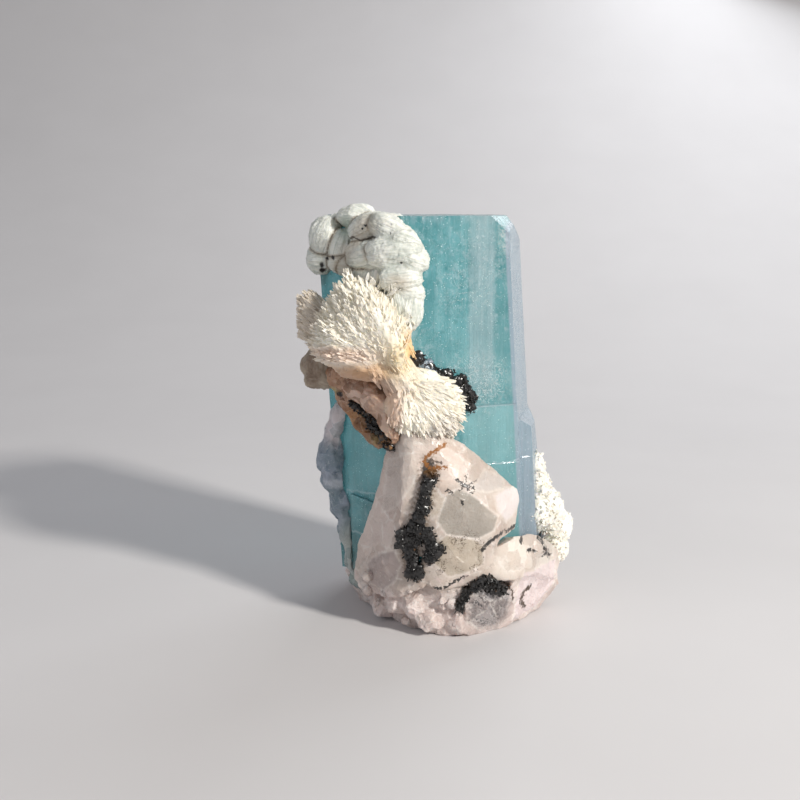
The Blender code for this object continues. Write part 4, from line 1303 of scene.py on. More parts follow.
@dataclass(frozen=True)
class QuartzFinish:
    """Pinkish-white quartz: clear and grey facets, white edges, dendrites, sprays and stains."""

    warm: Triple = (0.54, 0.45, 0.39)
    pale: Triple = (0.60, 0.53, 0.475)
    pink: Triple = (0.72, 0.59, 0.57)
    white: Triple = (0.86, 0.82, 0.77)
    zones: tuple[Zone, ...] = (
        Zone((-15.0, -21.0, 28.0), (7.0, 9.0, 17.0), 0.4, (0.72, 0.60, 0.55), 0.7),
        Zone((-0.6, -27.0, 39.4), (6.0, 7.0, 4.4), 0.3, (0.74, 0.61, 0.53), 0.75),
        Zone((10.6, -25.0, 6.8), (5.6, 7.0, 6.0), 0.3, (0.32, 0.30, 0.30), 0.9),
        Zone((24.6, -10.0, 15.4), (3.4, 7.0, 3.6), 0.4, (0.66, 0.63, 0.58), 0.6),
        Zone((15.4, -21.5, 17.4), (5.6, 7.0, 4.0), 0.5, (0.84, 0.77, 0.69), 0.6),
    )
    facets: tuple[Facet, ...] = (
        Facet(
            (
                (-1.6, 27.2), (0.5, 24.2), (7.2, 22.8), (11.0, 24.2),
                (12.0, 27.3), (5.8, 32.9), (3.0, 34.2), (0.2, 32.8),
            ),
            (0.28, 0.255, 0.22),
            0.95,
            (0.5, 0.25),
        ),
        Facet(
            ((6.2, 34.0), (9.7, 32.4), (13.6, 32.6), (13.3, 34.4), (9.2, 37.0)),
            (0.52, 0.47, 0.44),
            0.8,
            (-0.3, 0.4),
        ),
        Facet(
            ((11.9, 28.0), (12.8, 24.4), (17.0, 27.0), (18.0, 31.4), (14.0, 32.4), (9.6, 31.0)),
            (0.72, 0.66, 0.66),
            0.8,
            (0.5, -0.2),
        ),
        Facet(
            ((17.0, 9.6), (16.2, 1.0), (22.4, 1.6), (27.0, 6.0), (27.5, 12.0), (18.4, 12.8)),
            (0.74, 0.63, 0.64),
            0.85,
            (0.2, -0.5),
        ),
        Facet(
            (
                (-2.0, 17.6), (0.9, 14.6), (4.2, 15.0), (8.6, 16.8),
                (9.0, 20.6), (7.2, 22.6), (0.6, 24.0), (-2.0, 22.2),
            ),
            (0.36, 0.30, 0.22),
            0.85,
            (0.0, 0.4),
        ),
        Facet(
            (
                (-16.9, 14.8), (-16.2, 10.2), (-13.2, 9.4), (-10.4, 13.3),
                (-9.4, 16.8), (-10.6, 20.0), (-14.0, 18.6),
            ),
            (0.35, 0.27, 0.26),
            0.75,
            (-0.4, 0.2),
        ),
        Facet(
            ((-13.5, 25.7), (-11.0, 29.2), (-7.2, 31.9), (-6.4, 37.6), (-7.6, 41.6), (-12.3, 39.3)),
            (0.47, 0.39, 0.35),
            0.55,
            (-0.5, 0.1),
        ),
        Facet(
            ((-4.2, 30.3), (-2.5, 27.8), (-0.9, 28.8), (0.3, 32.2), (-3.6, 35.4)),
            (0.50, 0.43, 0.35),
            0.7,
            (0.4, 0.4),
        ),
        Facet(
            ((-6.0, 38.8), (-3.0, 36.6), (2.4, 36.2), (6.0, 38.4), (-1.0, 43.6), (-7.0, 44.0)),
            (0.66, 0.55, 0.49),
            0.6,
            (0.1, 0.5),
        ),
    )
    marks: tuple[Mark, ...] = (
        Mark(
            ((0.3, 43.3), (-1.0, 42.9), (-2.0, 42.3), (-3.1, 41.7), (-4.4, 40.5), (-3.7, 39.2)),
            0.9,
            RUST,
        ),
        Mark(((-3.0, 38.6), (-1.6, 38.8), (0.4, 38.7)), 0.8, RUST),
        Mark(((-2.6, 40.2), (-0.6, 39.8)), 0.35, SEPIA, 0.8),
        Mark(((2.3, 36.4), (4.3, 34.9), (6.6, 33.9)), 0.42, BLACK),
        Mark(((3.2, 33.7), (4.6, 34.8), (4.8, 36.6)), 0.26, BLACK),
        Mark(((3.2, 35.6), (5.0, 34.5), (6.2, 35.1)), 0.26, BLACK),
        Mark(((3.4, 35.0), (4.8, 34.3), (6.2, 33.1)), 0.5, BLACK),
        Mark(((4.4, 34.6), (7.4, 35.6)), 0.18, BLACK, 0.6),
        Mark(((0.6, 33.9), (1.0, 33.5)), 0.8, BLACK),
        Mark(((1.6, 33.4), (2.0, 33.0)), 0.5, BLACK),
        Mark(((3.7, 31.6), (4.0, 30.9)), 0.5, BLACK),
        Mark(
            ((8.4, 20.2), (9.9, 21.8), (11.5, 22.8), (13.0, 23.1), (14.5, 22.9), (16.6, 23.4)),
            0.95,
            BLACK,
        ),
        Mark(((17.7, 21.0), (17.8, 19.4)), 0.8, BLACK),
        Mark(((22.4, 18.9), (23.4, 17.6), (23.9, 16.0), (25.4, 13.6)), 0.9, BLACK),
        Mark(((19.6, 17.2), (21.4, 16.4)), 0.7, BLACK),
        Mark(((23.6, 14.3), (24.9, 14.9)), 0.6, BLACK),
        Mark(((20.4, 7.9), (18.5, 7.1), (18.1, 5.2), (19.0, 3.4)), 1.0, SEPIA),
        Mark(((-2.2, 12.1), (-0.8, 11.9), (0.7, 12.3), (2.7, 13.6), (4.9, 14.5)), 0.7, BLACK),
        Mark(((12.2, 11.0), (14.8, 10.3), (15.7, 8.9), (15.8, 6.6)), 0.5, SEPIA),
        Mark(((-4.4, 20.2), (-3.4, 17.4)), 0.8, SEPIA, 0.8),
        Mark(((-3.8, 23.0), (-2.0, 20.6), (-2.6, 17.6)), 0.6, RUST, 0.8),
    )
    vein: tuple[Pair, ...] = (
        (-3.4, 39.2),
        (-3.4, 36.6),
        (-4.4, 32.0),
        (-5.4, 28.0),
        (-6.4, 23.6),
        (-7.2, 19.4),
        (-6.2, 15.4),
    )

    def build(self) -> bpy.types.Material:
        """Build the material.

        Returns:
            The material.
        """
        bench = Bench("quartz_pinkish")
        moved = bench.warped(1.1, 0.35)
        ragged = bench.warped(0.8, 1.7)
        front = bench.y.rise(-5.0, -7.5)
        cloud = bench.noise(0.14, 4.0)
        veils = bench.noise(0.5, 4.0, distortion=0.6)
        grit = bench.noise(1.6, 4.0)
        breaks = bench.noise(1.3, 3.0).rise(0.34, 0.46)
        colour = bench.blend(self.warm, self.pale, cloud.rise(0.3, 0.62))
        colour = bench.blend(colour, self.pink, veils.rise(0.5, 0.72) * 0.5)
        low = bench.z.rise(13.0, 8.0)
        colour = bench.blend(colour, (0.84, 0.73, 0.71), low * 0.6)
        colour = paint_zones(bench, colour, self.zones, moved)
        tone, slope, edge = bench.facets(0.17, moved)
        small_tone, small_slope, small_edge = bench.facets(0.55, moved)
        colour = bench.tinted(colour, (0.74, 0.70, 0.68), tone.rise(0.75, 0.25) * 0.6)
        colour = bench.blend(colour, self.white, edge * veils.rise(0.4, 0.6) * 0.4)
        jagged = bench.warped(0.35, 0.6)
        jagged_x, _, jagged_z = bench.parts(jagged)
        level = bench.flat(jagged_x, jagged_z)
        planes: Value = slope * 0.5
        for facet in self.facets:
            depth = bench.polygon(facet.corners, level)
            colour = bench.blend(colour, self.white, depth.rise(-0.5, -0.05) * front * veils * 0.5)
            inside = depth.rise(-0.1, 0.5) * front
            cover = cloud * 0.5 + facet.share * 0.75 - 0.2
            colour = bench.blend(colour, facet.colour, inside * cover)
            middle = [sum(side) / len(side) for side in zip(*facet.corners)]
            tilt = (bench.x - middle[0]) * facet.slope[0] + (bench.z - middle[1]) * facet.slope[1]
            planes = planes + depth.rise(0.0, 1.6) * front * tilt * 0.10
        sparkle = bench.cells(0.9, where=moved).rise(0.22, 0.05) * grit.rise(0.45, 0.6)
        rough_places = low.most(bench.spot((-14.2, -21.0, 14.4), (5.5, 9.0, 6.0), 0.4))
        colour = bench.blend(colour, self.white, sparkle * (rough_places * 0.6 + 0.25))
        colour = bench.tinted(colour, (0.62, 0.55, 0.50), grit.rise(0.56, 0.7) * (low * 0.2 + 0.2))

        across, _, up = bench.parts(ragged)
        beside = bench.reach(self.vein, bench.flat(across, up))
        halo = beside.rise(3.2, 1.5) * front
        colour = bench.blend(colour, (0.20, 0.13, 0.08), halo * grit.rise(0.4, 0.62) * 0.75)
        core = beside.rise(1.7, 0.8) * front
        colour = bench.blend(colour, BLACK, core * 0.9)

        field = bench.spot((3.4, -28.0, 19.0), (8.4, 8.0, 5.6), 0.25, moved) * front
        twigs = abs(bench.noise(0.75, 4.0, distortion=1.8) - 0.5).rise(0.03, 0.008)
        twigs = twigs * bench.noise(0.45, 2.0).rise(0.5, 0.56)
        colour = bench.blend(colour, SEPIA, twigs * field)
        ochre = bench.cells(0.6, where=ragged).rise(0.2, 0.1) * bench.noise(0.3).rise(0.5, 0.6)
        colour = bench.blend(colour, (0.34, 0.19, 0.06), ochre * field * 0.8)

        side, rise = across - 13.2, up - 1.6
        angle = bench.node("ShaderNodeMath", {"operation": "ARCTAN2"}, {0: side, 1: rise})
        far = (side * side + rise * rise) ** 0.5
        needles = bench.noise(1.0, 2.0, where=bench.joined(angle * 26.0, far * 0.16, 0.0))
        fan = bench.spot((10.6, -25.0, 6.6), (5.4, 8.0, 5.8), 0.35) * front
        colour = bench.blend(colour, (0.05, 0.05, 0.055), needles.rise(0.52, 0.64) * fan * 0.85)
        colour = bench.blend(colour, self.white, needles.rise(0.42, 0.34) * fan * 0.35)
        colour = paint_marks(bench, colour, self.marks, ragged, front, breaks)

        colour = bench.tinted(colour, (0.70, 0.64, 0.64), small_tone.rise(0.7, 0.2) * low * 0.35)
        rough = 0.17 + grit * 0.2 + rough_places * 0.15 + tone * 0.1
        height = veils * 0.25 + grit * 0.25 + planes * 1.6
        height = height + (small_slope * 1.4 + small_edge * 0.1) * rough_places
        return bench.finish(
            Base_Color=colour,
            Roughness=rough,
            Subsurface_Weight=0.3,
            Subsurface_Radius=(0.0035, 0.0028, 0.0024),
            Subsurface_Scale=1.0,
            IOR=QUARTZ_IOR,
            Normal=bench.bump(height, 0.6, 0.8),
        )


@dataclass(frozen=True)
class SmokyQuartzFinish:
    """Grey-lilac translucent quartz with milky and greenish parts."""

    grey: Triple = (0.17, 0.23, 0.27)
    lilac: Triple = (0.29, 0.33, 0.40)
    zones: tuple[Zone, ...] = (
        Zone((-24.0, -9.6, 44.8), (4.6, 6.0, 5.4), 0.5, (0.68, 0.60, 0.60), 0.8),
        Zone((-21.0, -9.0, 12.0), (5.0, 9.0, 9.0), 0.5, (0.42, 0.44, 0.38), 0.7),
        Zone((-24.0, -7.6, 30.6), (4.0, 6.0, 1.0), 0.6, (0.62, 0.64, 0.70), 0.6),
    )

    def build(self) -> bpy.types.Material:
        """Build the material.

        Returns:
            The material.
        """
        bench = Bench("quartz_smoky")
        moved = bench.warped(0.9, 0.4)
        cloud = bench.noise(0.2, 4.0)
        veils = bench.noise(0.6, 4.0, distortion=0.8)
        fine = bench.noise(2.0, 3.0)
        colour = bench.blend(self.grey, self.lilac, cloud.rise(0.35, 0.65))
        colour = paint_zones(bench, colour, self.zones, moved)
        colour = bench.blend(colour, (0.80, 0.80, 0.82), veils.rise(0.58, 0.76) * 0.45)
        tone, slope, edge = bench.facets(0.34, moved)
        colour = bench.tinted(colour, (0.62, 0.72, 0.74), tone.rise(0.8, 0.2) * 0.7)
        colour = bench.blend(colour, (0.74, 0.78, 0.82), edge * veils.rise(0.45, 0.6) * 0.25)
        sparks = bench.cells(1.2, where=moved).rise(0.16, 0.05)
        colour = bench.blend(colour, (0.90, 0.90, 0.92), sparks * 0.4)
        rough = 0.15 + veils * 0.2 + tone * 0.1
        return bench.finish(
            Base_Color=colour,
            Roughness=rough,
            Subsurface_Weight=0.3,
            Subsurface_Radius=(0.003, 0.003, 0.0035),
            Subsurface_Scale=1.0,
            IOR=QUARTZ_IOR,
            Normal=bench.bump(veils * 0.4 + fine * 0.25 + slope * 1.2, 0.5, 0.8),
        )


@dataclass(frozen=True)
class NoduleFinish:
    """Green-grey albite with faint rings."""

    dark: Triple = (0.25, 0.18, 0.13)
    light: Triple = (0.44, 0.37, 0.29)

    def build(self) -> bpy.types.Material:
        """Build the material.

        Returns:
            The material.
        """
        bench = Bench("albite_green_grey")
        cloud = bench.noise(0.3, 4.0)
        fine = bench.noise(1.8, 3.0)
        own = bench.own_map()
        ribs = bench.noise(1.0, 2.0, (2.2, 1.0, 1.0), own)
        colour = bench.blend(self.dark, self.light, cloud.rise(0.35, 0.7))
        colour = bench.blend(colour, (0.56, 0.50, 0.42), ribs.rise(0.55, 0.8) * 0.4)
        return bench.finish(
            Base_Color=colour,
            Roughness=0.36 + fine * 0.2,
            Subsurface_Weight=0.2,
            Subsurface_Radius=(0.002, 0.002, 0.0015),
            Subsurface_Scale=1.0,
            IOR=FELDSPAR_IOR,
            Normal=bench.bump(ribs * 0.5 + fine * 0.4, 0.2, 0.8),
        )


@dataclass(frozen=True)
class FloorFinish:
    """Plain pale studio floor."""

    colour: Triple = (0.60, 0.585, 0.59)

    def build(self) -> bpy.types.Material:
        """Build the material.

        Returns:
            The material.
        """
        bench = Bench("floor_pale")
        tone = bench.noise(0.02, 2.0)
        colour = bench.blend(self.colour, (0.64, 0.625, 0.63), tone)
        return bench.finish(Base_Color=colour, Roughness=0.75)


# --- Growths that are modelled once and copied ----------------------------------------------------


def lay_map(item: bpy.types.Object, across: int, along: int) -> None:
    """Give a growth a UV map from its own shape, across it and along it.

    Args:
        item: The growth.
        across: The axis that u follows.
        along: The axis that v follows.
    """
    layers = item.data.uv_layers
    layer = layers.active or layers.new(name="UVMap")
    for loop in item.data.loops:
        place = item.data.vertices[loop.vertex_index].co
        other = place[3 - across - along] * 0.35
        layer.data[loop.index].uv = ((place[across] + other) * 1.4, place[along] * 0.5)


def add_blade(name: str, lean: float) -> bpy.types.Object:
    """Thin blade along X, of length, width and thickness 1, with a chisel tip.

    Args:
        name: The blade's name.
        lean: How far its tip leans to one side.

    Returns:
        The blade.
    """
    deselect_all()
    bpy.ops.mesh.primitive_cube_add(size=1.0, location=(0.15, 0.0, 0.0), scale=(0.3, 0.5, 0.7))
    item = settle(bpy.context.object)
    item.name = name
    with edit_mode(item):
        for step, width, side in ((0.3, 1.9, 0.0), (0.26, 0.9, lean * 0.3), (0.14, 0.42, lean)):
            select_faces(item, lambda middle, normal: normal.x > 0.9)
            bpy.ops.mesh.extrude_region_move(
                TRANSFORM_OT_translate={"value": (step, side * 0.4, 0.0)}
            )
            shape = bmesh.from_edit_mesh(item.data)
            end = max(vertex.co.x for vertex in shape.verts)
            bpy.ops.transform.resize(
                value=(1.0, width, 1.12 if width > 1 else 0.62),
                center_override=(end, side * 0.4, 0),
            )
    lay_map(item, 1, 0)
    return item


def add_column(name: str, sides: int, point: float) -> bpy.types.Object:
    """Short striated column along X, of length and width 1, with a low point.

    Args:
        name: The column's name.
        sides: How many sides it has.
        point: How high its point is.

    Returns:
        The column.
    """
    deselect_all()
    bpy.ops.mesh.primitive_cylinder_add(
        vertices=sides, radius=0.5, depth=1.0, rotation=(0.0, math.pi / 2, 0.0)
    )
    item = settle(bpy.context.object)
    item.name = name
    with edit_mode(item):
        select_faces(item, lambda middle, normal: normal.x > 0.9)
        bpy.ops.mesh.inset(thickness=0.22, depth=point)
        select_faces(item, lambda middle, normal: normal.x < -0.9)
        bpy.ops.mesh.inset(thickness=0.12, depth=0.05)
    lay_map(item, 1, 0)
    return item


def add_stub(name: str, seed: int) -> bpy.types.Object:
    """Blunt six-sided quartz stub along X, of radius about 1, with a worn pyramid.

    Args:
        name: The stub's name.
        seed: Shifts its roughness.

    Returns:
        The stub.
    """
    deselect_all()
    bpy.ops.mesh.primitive_cylinder_add(
        vertices=6, radius=1.0, depth=1.6, rotation=(0.0, math.pi / 2, 0.0)
    )
    item = settle(bpy.context.object)
    item.name = name
    with edit_mode(item):
        select_faces(item, lambda middle, normal: normal.x > 0.9)
        bpy.ops.mesh.inset(thickness=0.62, depth=0.42)
        select_faces(item, lambda middle, normal: normal.x < -0.9)
        bpy.ops.mesh.inset(thickness=0.3, depth=0.15)
    modify(item, "BEVEL", width=0.04, segments=1, limit_method="ANGLE", angle_limit=0.4)
    roughen(item, Grain.CLOUDS, 1.6, 0.36, shift=(seed * 3.1, 0.0, 0.0), unit=1.0)
    lay_map(item, 1, 0)
    return item


def add_striated_lobe(
    name: str, seed: int, segments: int = 48, rings: int = 24
) -> bpy.types.Object:
    """Rounded lobe of radius 1 with grooves that run along X.

    Args:
        name: The lobe's name.
        seed: Shifts its grooves.
        segments: Faces round it.
        rings: Faces along it.

    Returns:
        The lobe.
    """
    deselect_all()
    bpy.ops.mesh.primitive_uv_sphere_add(segments=segments, ring_count=rings, radius=1.0)
    item = bpy.context.object
    item.name = name
    item.rotation_euler = (0.0, math.pi / 2, 0.0)
    settle(item)
    shift = (seed * 4.3, seed * 1.7, seed * 2.9)
    roughen(item, Grain.CLOUDS, 0.9, 0.5, shift=shift, unit=1.0)
    roughen(item, Grain.PERLIN, 0.22, 0.26, stretch=(5.0, 1.0, 1.0), shift=shift, unit=1.0)
    return item


def scatter(
    item: bpy.types.Object,
    count: int,
    seed: int,
    wanted: Callable[[Vector, Vector], bool],
    sizes: Callable[[random.Random], Triple],
    tilt: float,
    sink: float,
) -> list[Matrix]:
    """Places for growths on random faces of a surface.

    Args:
        item: The surface.
        count: How many places.
        seed: Seeds the choice.
        wanted: Says for a point in millimetres and its normal whether it is wanted.
        sizes: Gives length, width and depth in millimetres.
        tilt: How far a growth may turn away from the normal.
        sink: How deep it stands in the surface, in millimetres.

    Returns:
        The places.
    """
    dice = random.Random(seed)
    faces = [
        (face.center / MM, face.normal.copy())
        for face in item.data.polygons
        if wanted(face.center / MM, face.normal)
    ]
    places = []
    for _ in range(count):
        middle, normal = dice.choice(faces)
        jitter = Vector([dice.uniform(-tilt, tilt) for _ in range(3)])
        along = (normal + jitter).normalized()
        out = Vector([dice.uniform(-1, 1) for _ in range(3)])
        length, width, depth = sizes(dice)
        root = middle - normal * sink
        size = Matrix.Diagonal((length * MM, width * MM, depth * MM, 1.0))
        places.append(Matrix.Translation(root * MM) @ orientation(along, out) @ size)
    return places


# --- The specimen's parts -------------------------------------------------------------------------


@dataclass
class AquamarinePrism:
    """The big prism with its growth plates and the side crystal."""

    octree: int = 8
    groove_depth: float = 0.16
    cleavage_height: float = 50.4
    second_height: float = 37.4
    step: float = 0.22

    def build(self, material: bpy.types.Material) -> bpy.types.Object:
        """Build and dress the prism.

        Args:
            material: The beryl's material.

        Returns:
            The prism.
        """
        item = cad_copy("aquamarine_crystal", "aquamarine_prism")
        modify(item, "REMESH", mode="SHARP", octree_depth=self.octree, scale=0.92, sharpness=1.0)
        self.cut_step(item, self.second_height, self.cleavage_height, 4.0, -self.step)
        self.cut_step(item, 52.0, 58.5, 3.0, -self.step * 0.45)
        roughen(item, Grain.PERLIN, 1.6, self.groove_depth, 0.6, (1.0, 1.0, 16.0))
        roughen(item, Grain.CLOUDS, 7.0, 0.28, 0.6, (1.0, 1.0, 3.0))
        roughen(item, Grain.RIDGES, 1.1, 0.10, 0.5, (1.0, 1.0, 1.4))
        chip = grade(item, "chip", lambda p: 1.0 - (p - Vector((13.6, -15.2, 88.3))).length / 4.0)
        roughen(item, Grain.CELLS, 0.8, 0.7, 0.7, group=chip)
        foot = grade(item, "foot", lambda p: min((12.5 - p.z) / 3.0, (p.y - 4.0) / 3.0))
        modify(item, "DISPLACE", strength=-1.3 * MM, mid_level=0.0, vertex_group=foot)
        modify(item, "DECIMATE", ratio=0.62)
        shade(item, 28.0)
        return dress(item, material, "aquamarine", "aquamarine_crystal")

    def cut_step(
        self, item: bpy.types.Object, low: float, high: float, side: float, depth: float
    ) -> None:
        """Set a stretch of the front face back by a small step.

        Args:
            item: The prism.
            low: The stretch's lower end in millimetres.
            high: Its upper end.
            side: Where it starts across the face.
            depth: How far it moves outward; below 0 it moves in.
        """
        outward = Vector((math.sin(math.radians(18.5)), -math.cos(math.radians(18.5)), 0.0))
        with edit_mode(item):
            select_faces(
                item,
                lambda middle, normal: normal.dot(outward) > 0.97
                and low < middle.z / MM < high
                and middle.x / MM > side,
            )
            bpy.ops.transform.translate(value=outward * depth * MM)


@dataclass
class QuartzMatrix:
    """The faceted block with its lumpy base, and the blunt crystals on its rim."""

    voxel: float = 0.37
    rim_count: int = 70
    kept: float = 0.16
    floor_cut: float = 0.06

    def build(self, material: bpy.types.Material) -> list[bpy.types.Object]:
        """Build and dress the block and its rim.

        Args:
            material: The quartz's material.

        Returns:
            The block and the rim crystals.
        """
        item = cad_copy("quartz_matrix", "quartz_block")
        remesh(item, self.voxel, 1)
        rim = grade(item, "rim", self.sugary)
        roughen(item, Grain.CELLS, 9.0, 1.0, 0.5)
        roughen(item, Grain.CELLS, 3.6, 0.55, 0.5)
        roughen(item, Grain.CELLS, 4.6, 1.1, 0.45, group=rim)
        roughen(item, Grain.RIDGES, 1.3, 0.45, 0.5, group=rim)
        roughen(item, Grain.CLOUDS, 1.4, 0.16, 0.5)
        modify(item, "DECIMATE", ratio=self.kept)
        with edit_mode(item):
            bpy.ops.mesh.select_all(action="SELECT")
            bpy.ops.mesh.bisect(
                plane_co=(0.0, 0.0, self.floor_cut * MM),
                plane_no=(0.0, 0.0, 1.0),
                use_fill=True,
                clear_inner=True,
                threshold=1e-6,
            )
        shade(item, 14.0)
        dress(item, material, "quartz", "quartz_matrix")
        stubs = [add_stub(f"stub_{seed}", seed) for seed in range(3)]
        places = scatter(
            item,
            self.rim_count,
            21,
            self.on_rim,
            self.stub_size,
            0.8,
            0.25,
        )
        rim_item = copy_to(stubs, places, "rim_crystals", 22)
        discard(*stubs)
        shade(rim_item, 12.0)
        dress(rim_item, material, "quartz")
        return [item, rim_item]

    @staticmethod
    def sugary(point: Vector) -> float:
        """How rough the block is at a point in millimetres: 1 on its rim and low on the left."""
        left = 1.0 - (point - Vector((-15.0, -20.0, 14.0))).length / 9.0
        right = 1.0 - (point - Vector((21.0, -16.0, 12.0))).length / 10.0
        low = (13.0 - point.z) / 5.0 * (0.25 if point.x > 3.0 and point.y < -4.0 else 1.0)
        return max(low, left, right * 0.4)

    @staticmethod
    def on_rim(point: Vector, normal: Vector) -> bool:
        """Whether a point is on the lower outer rim."""
        outward = point.x * normal.x + point.y * normal.y > 0.0
        low = 1.8 < point.z < 10.0 + 3.5 * math.sin(point.x * 0.7)
        smooth = point.x > 3.0 and point.y < -4.0
        return low and outward and normal.z > -0.45 and point.xy.length < 28.5 and not smooth

    @staticmethod
    def stub_size(dice: random.Random) -> Triple:
        """Half sizes of one rim crystal in millimetres."""
        width = dice.uniform(0.5, 1.5) if dice.random() < 0.6 else dice.uniform(0.3, 0.6)
        return (width * dice.uniform(0.8, 1.2), width, width * dice.uniform(0.7, 1.0))


@dataclass
class LobedGrowth:
    """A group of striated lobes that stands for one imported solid."""

    name: str
    node: str
    slot: str
    lobes: tuple[Lobe, ...]
    seed: int
    swell: float = 1.09
    voxel: float = 0.3
    smooth_rounds: int = 18

    def build(self, material: bpy.types.Material) -> bpy.types.Object:
        """Build and dress the group.

        Args:
            material: Its material.

        Returns:
            The group.
        """
        item = fuse_lobes(
            self.name, self.lobes, self.seed, self.voxel, self.swell, self.smooth_rounds
        )
        shade(item)
        return dress(item, material, self.slot, *filter(None, (self.node,)))


@dataclass(frozen=True)
class Fan:
    """One fan of the sheaf: its knot, the reach of its blades and how they are spread."""

    knot: Triple
    reaches: tuple[Pair, ...]
    swing: float
    layers: tuple[Triple, ...]
    width: float
    depth: float

    def way(self, turn: float, lean: float) -> Vector:
        """Direction of a blade, of length 1 in the viewer's plane.

        Args:
            turn: Its turn in degrees.
            lean: Its lean toward the viewer in degrees.

        Returns:
            The direction.
        """
        angle = math.radians(turn)
        side, rise = math.cos(angle), math.sin(angle)
        return Vector((side, abs(side) * self.swing - math.tan(math.radians(lean)), rise))

    def hearts(self) -> list[Lobe]:
        """Lobes inside the fan, one for each reach and layer."""
        found = []
        for share, lean, offset in self.layers:
            for turn, reach in self.reaches:
                along = self.way(turn + offset, lean)
                far = reach * share
                middle = Vector(self.knot) + along * far * 0.46
                size = (far * 0.88, self.width, self.depth)
                found.append(Lobe(*middle, tuple(along), TOWARD_VIEWER, *size))
        return found

    def combing(self, point: Vector) -> Vector | None:
        """Way in which a blade at a point grows, or nothing off the fan.

        Args:
            point: The point in millimetres.

        Returns:
            The way, of length 1.
        """
        out = point - Vector(self.knot)
        turn = math.degrees(math.atan2(out.z, out.x)) % 360
        low, high = min(self.reaches)[0] % 360, max(self.reaches)[0] % 360
        inside = low - 9 < turn < high + 9 if low < high else turn > low - 9 or turn < high + 9
        return out.normalized() if inside and out.length > 3.0 else None


@dataclass
class CleavelanditeSheaf:
    """The hourglass bundle: one combed body, and the scaly blades that cover its fans."""

    upper: Fan
    lower: Fan
    waist: tuple[Lobe, ...]
    count: int = 4300
    seed: int = 5
    voxel: float = 0.32
    foremost: float = -30.6
    leftmost: float = -32.4

    def build(self, material: bpy.types.Material) -> list[bpy.types.Object]:
        """Build and dress the sheaf.

        Args:
            material: The blades' material.

        Returns:
            The body and the blades.
        """
        lobes = (*self.upper.hearts(), *self.lower.hearts(), *self.waist)
        body = fuse_lobes("sheaf_body", lobes, self.seed, self.voxel, 0.97)
        shade(body)
        dress(body, material, "cream_albite", "cleavelandite_sheaf")
        blades = [add_blade(f"blade_{n}", lean) for n, lean in enumerate((0.0, 0.5, -0.5))]
        spray = copy_to(blades, self.places(body), "sheaf_blades", self.seed + 1)
        discard(*blades)
        shade(spray, 30.0)
        dress(spray, material, "cream_albite")
        return [body, spray]

    def places(self, body: bpy.types.Object) -> list[Matrix]:
        """Places of the blades on the body.

        Args:
            body: The combed body.

        Returns:
            The places.
        """
        dice = random.Random(self.seed)
        faces = [(face.center / MM, face.normal.copy(), face.area) for face in body.data.polygons]
        weights = [area for _, _, area in faces]
        places = []
        for point, normal, _ in dice.choices(faces, weights, k=self.count):
            way = self.upper.combing(point) if point.z > 61.0 else self.lower.combing(point)
            if way is None and (point - Vector((-9.4, -28.0, 60.0))).length < 7.0:
                way = Vector((-0.52, 0.0, 0.85)) * (1.0 if point.z > 60.5 else -1.0)
            if way is None or way.dot(normal) < -0.3:
                continue
            flat = 0.45 if point.z < 60.0 else 1.0
            lift = dice.uniform(0.0, 0.14) * flat
            wobble = Vector([dice.uniform(-0.13, 0.13) for _ in range(3)])
            along = (way + normal * lift + wobble).normalized()
            length = dice.uniform(1.7, 3.5) * (1.4 if dice.random() < 0.1 else 1.0)
            root = point - along * length * 0.55
            tip = root + along * length
            if tip.y < self.foremost or tip.x < self.leftmost:
                retreat = max(0.0, self.foremost - tip.y)
                root += Vector((max(0.0, self.leftmost - tip.x), retreat, 0))
            out = normal + Vector([dice.uniform(-0.4, 0.4) for _ in range(3)])
            size = (length * MM, dice.uniform(0.35, 0.85) * MM, dice.uniform(0.16, 0.32) * MM, 1.0)
            turned = orientation(along, out)
            places.append(Matrix.Translation(root * MM) @ turned @ Matrix.Diagonal(size))
        return places


@dataclass
class FeldsparLump:
    """Peach-brown feldspar below the sheaf."""

    voxel: float = 0.26

    def build(self, material: bpy.types.Material) -> bpy.types.Object:
        """Build and dress the lump.

        Args:
            material: The feldspar's material.

        Returns:
            The lump.
        """
        item = cad_copy("feldspar_wedge", "feldspar_lump")
        remesh(item, self.voxel, 3)
        roughen(item, Grain.CELLS, 3.2, 1.3, 0.5, (2.0, 1.0, 1.0), (0.0, 35.0, 0.0))
        roughen(item, Grain.CELLS, 1.3, 0.5, 0.5, (2.0, 1.0, 1.0), (0.0, 35.0, 0.0))
        roughen(item, Grain.RIDGES, 1.2, 0.3, 0.5)
        shade(item, 30.0)
        return dress(item, material, "feldspar", "feldspar_wedge")


@dataclass
class SmokyFlank:
    """Grey-lilac quartz lumps on the prism's left side."""

    voxel: float = 0.3

    def build(self, material: bpy.types.Material) -> bpy.types.Object:
        """Build and dress the flank.

        Args:
            material: The smoky quartz's material.

        Returns:
            The flank.
        """
        item = cad_copy("quartz_flank", "flank_lumps")
        remesh(item, self.voxel, 3)
        roughen(item, Grain.CELLS, 5.6, 1.5, 0.5)
        roughen(item, Grain.CELLS, 2.6, 0.5, 0.5)
        roughen(item, Grain.CLOUDS, 1.2, 0.2, 0.5)
        modify(item, "DECIMATE", ratio=0.35)
        shade(item, 18.0)
        return dress(item, material, "smoky_quartz", "quartz_flank")


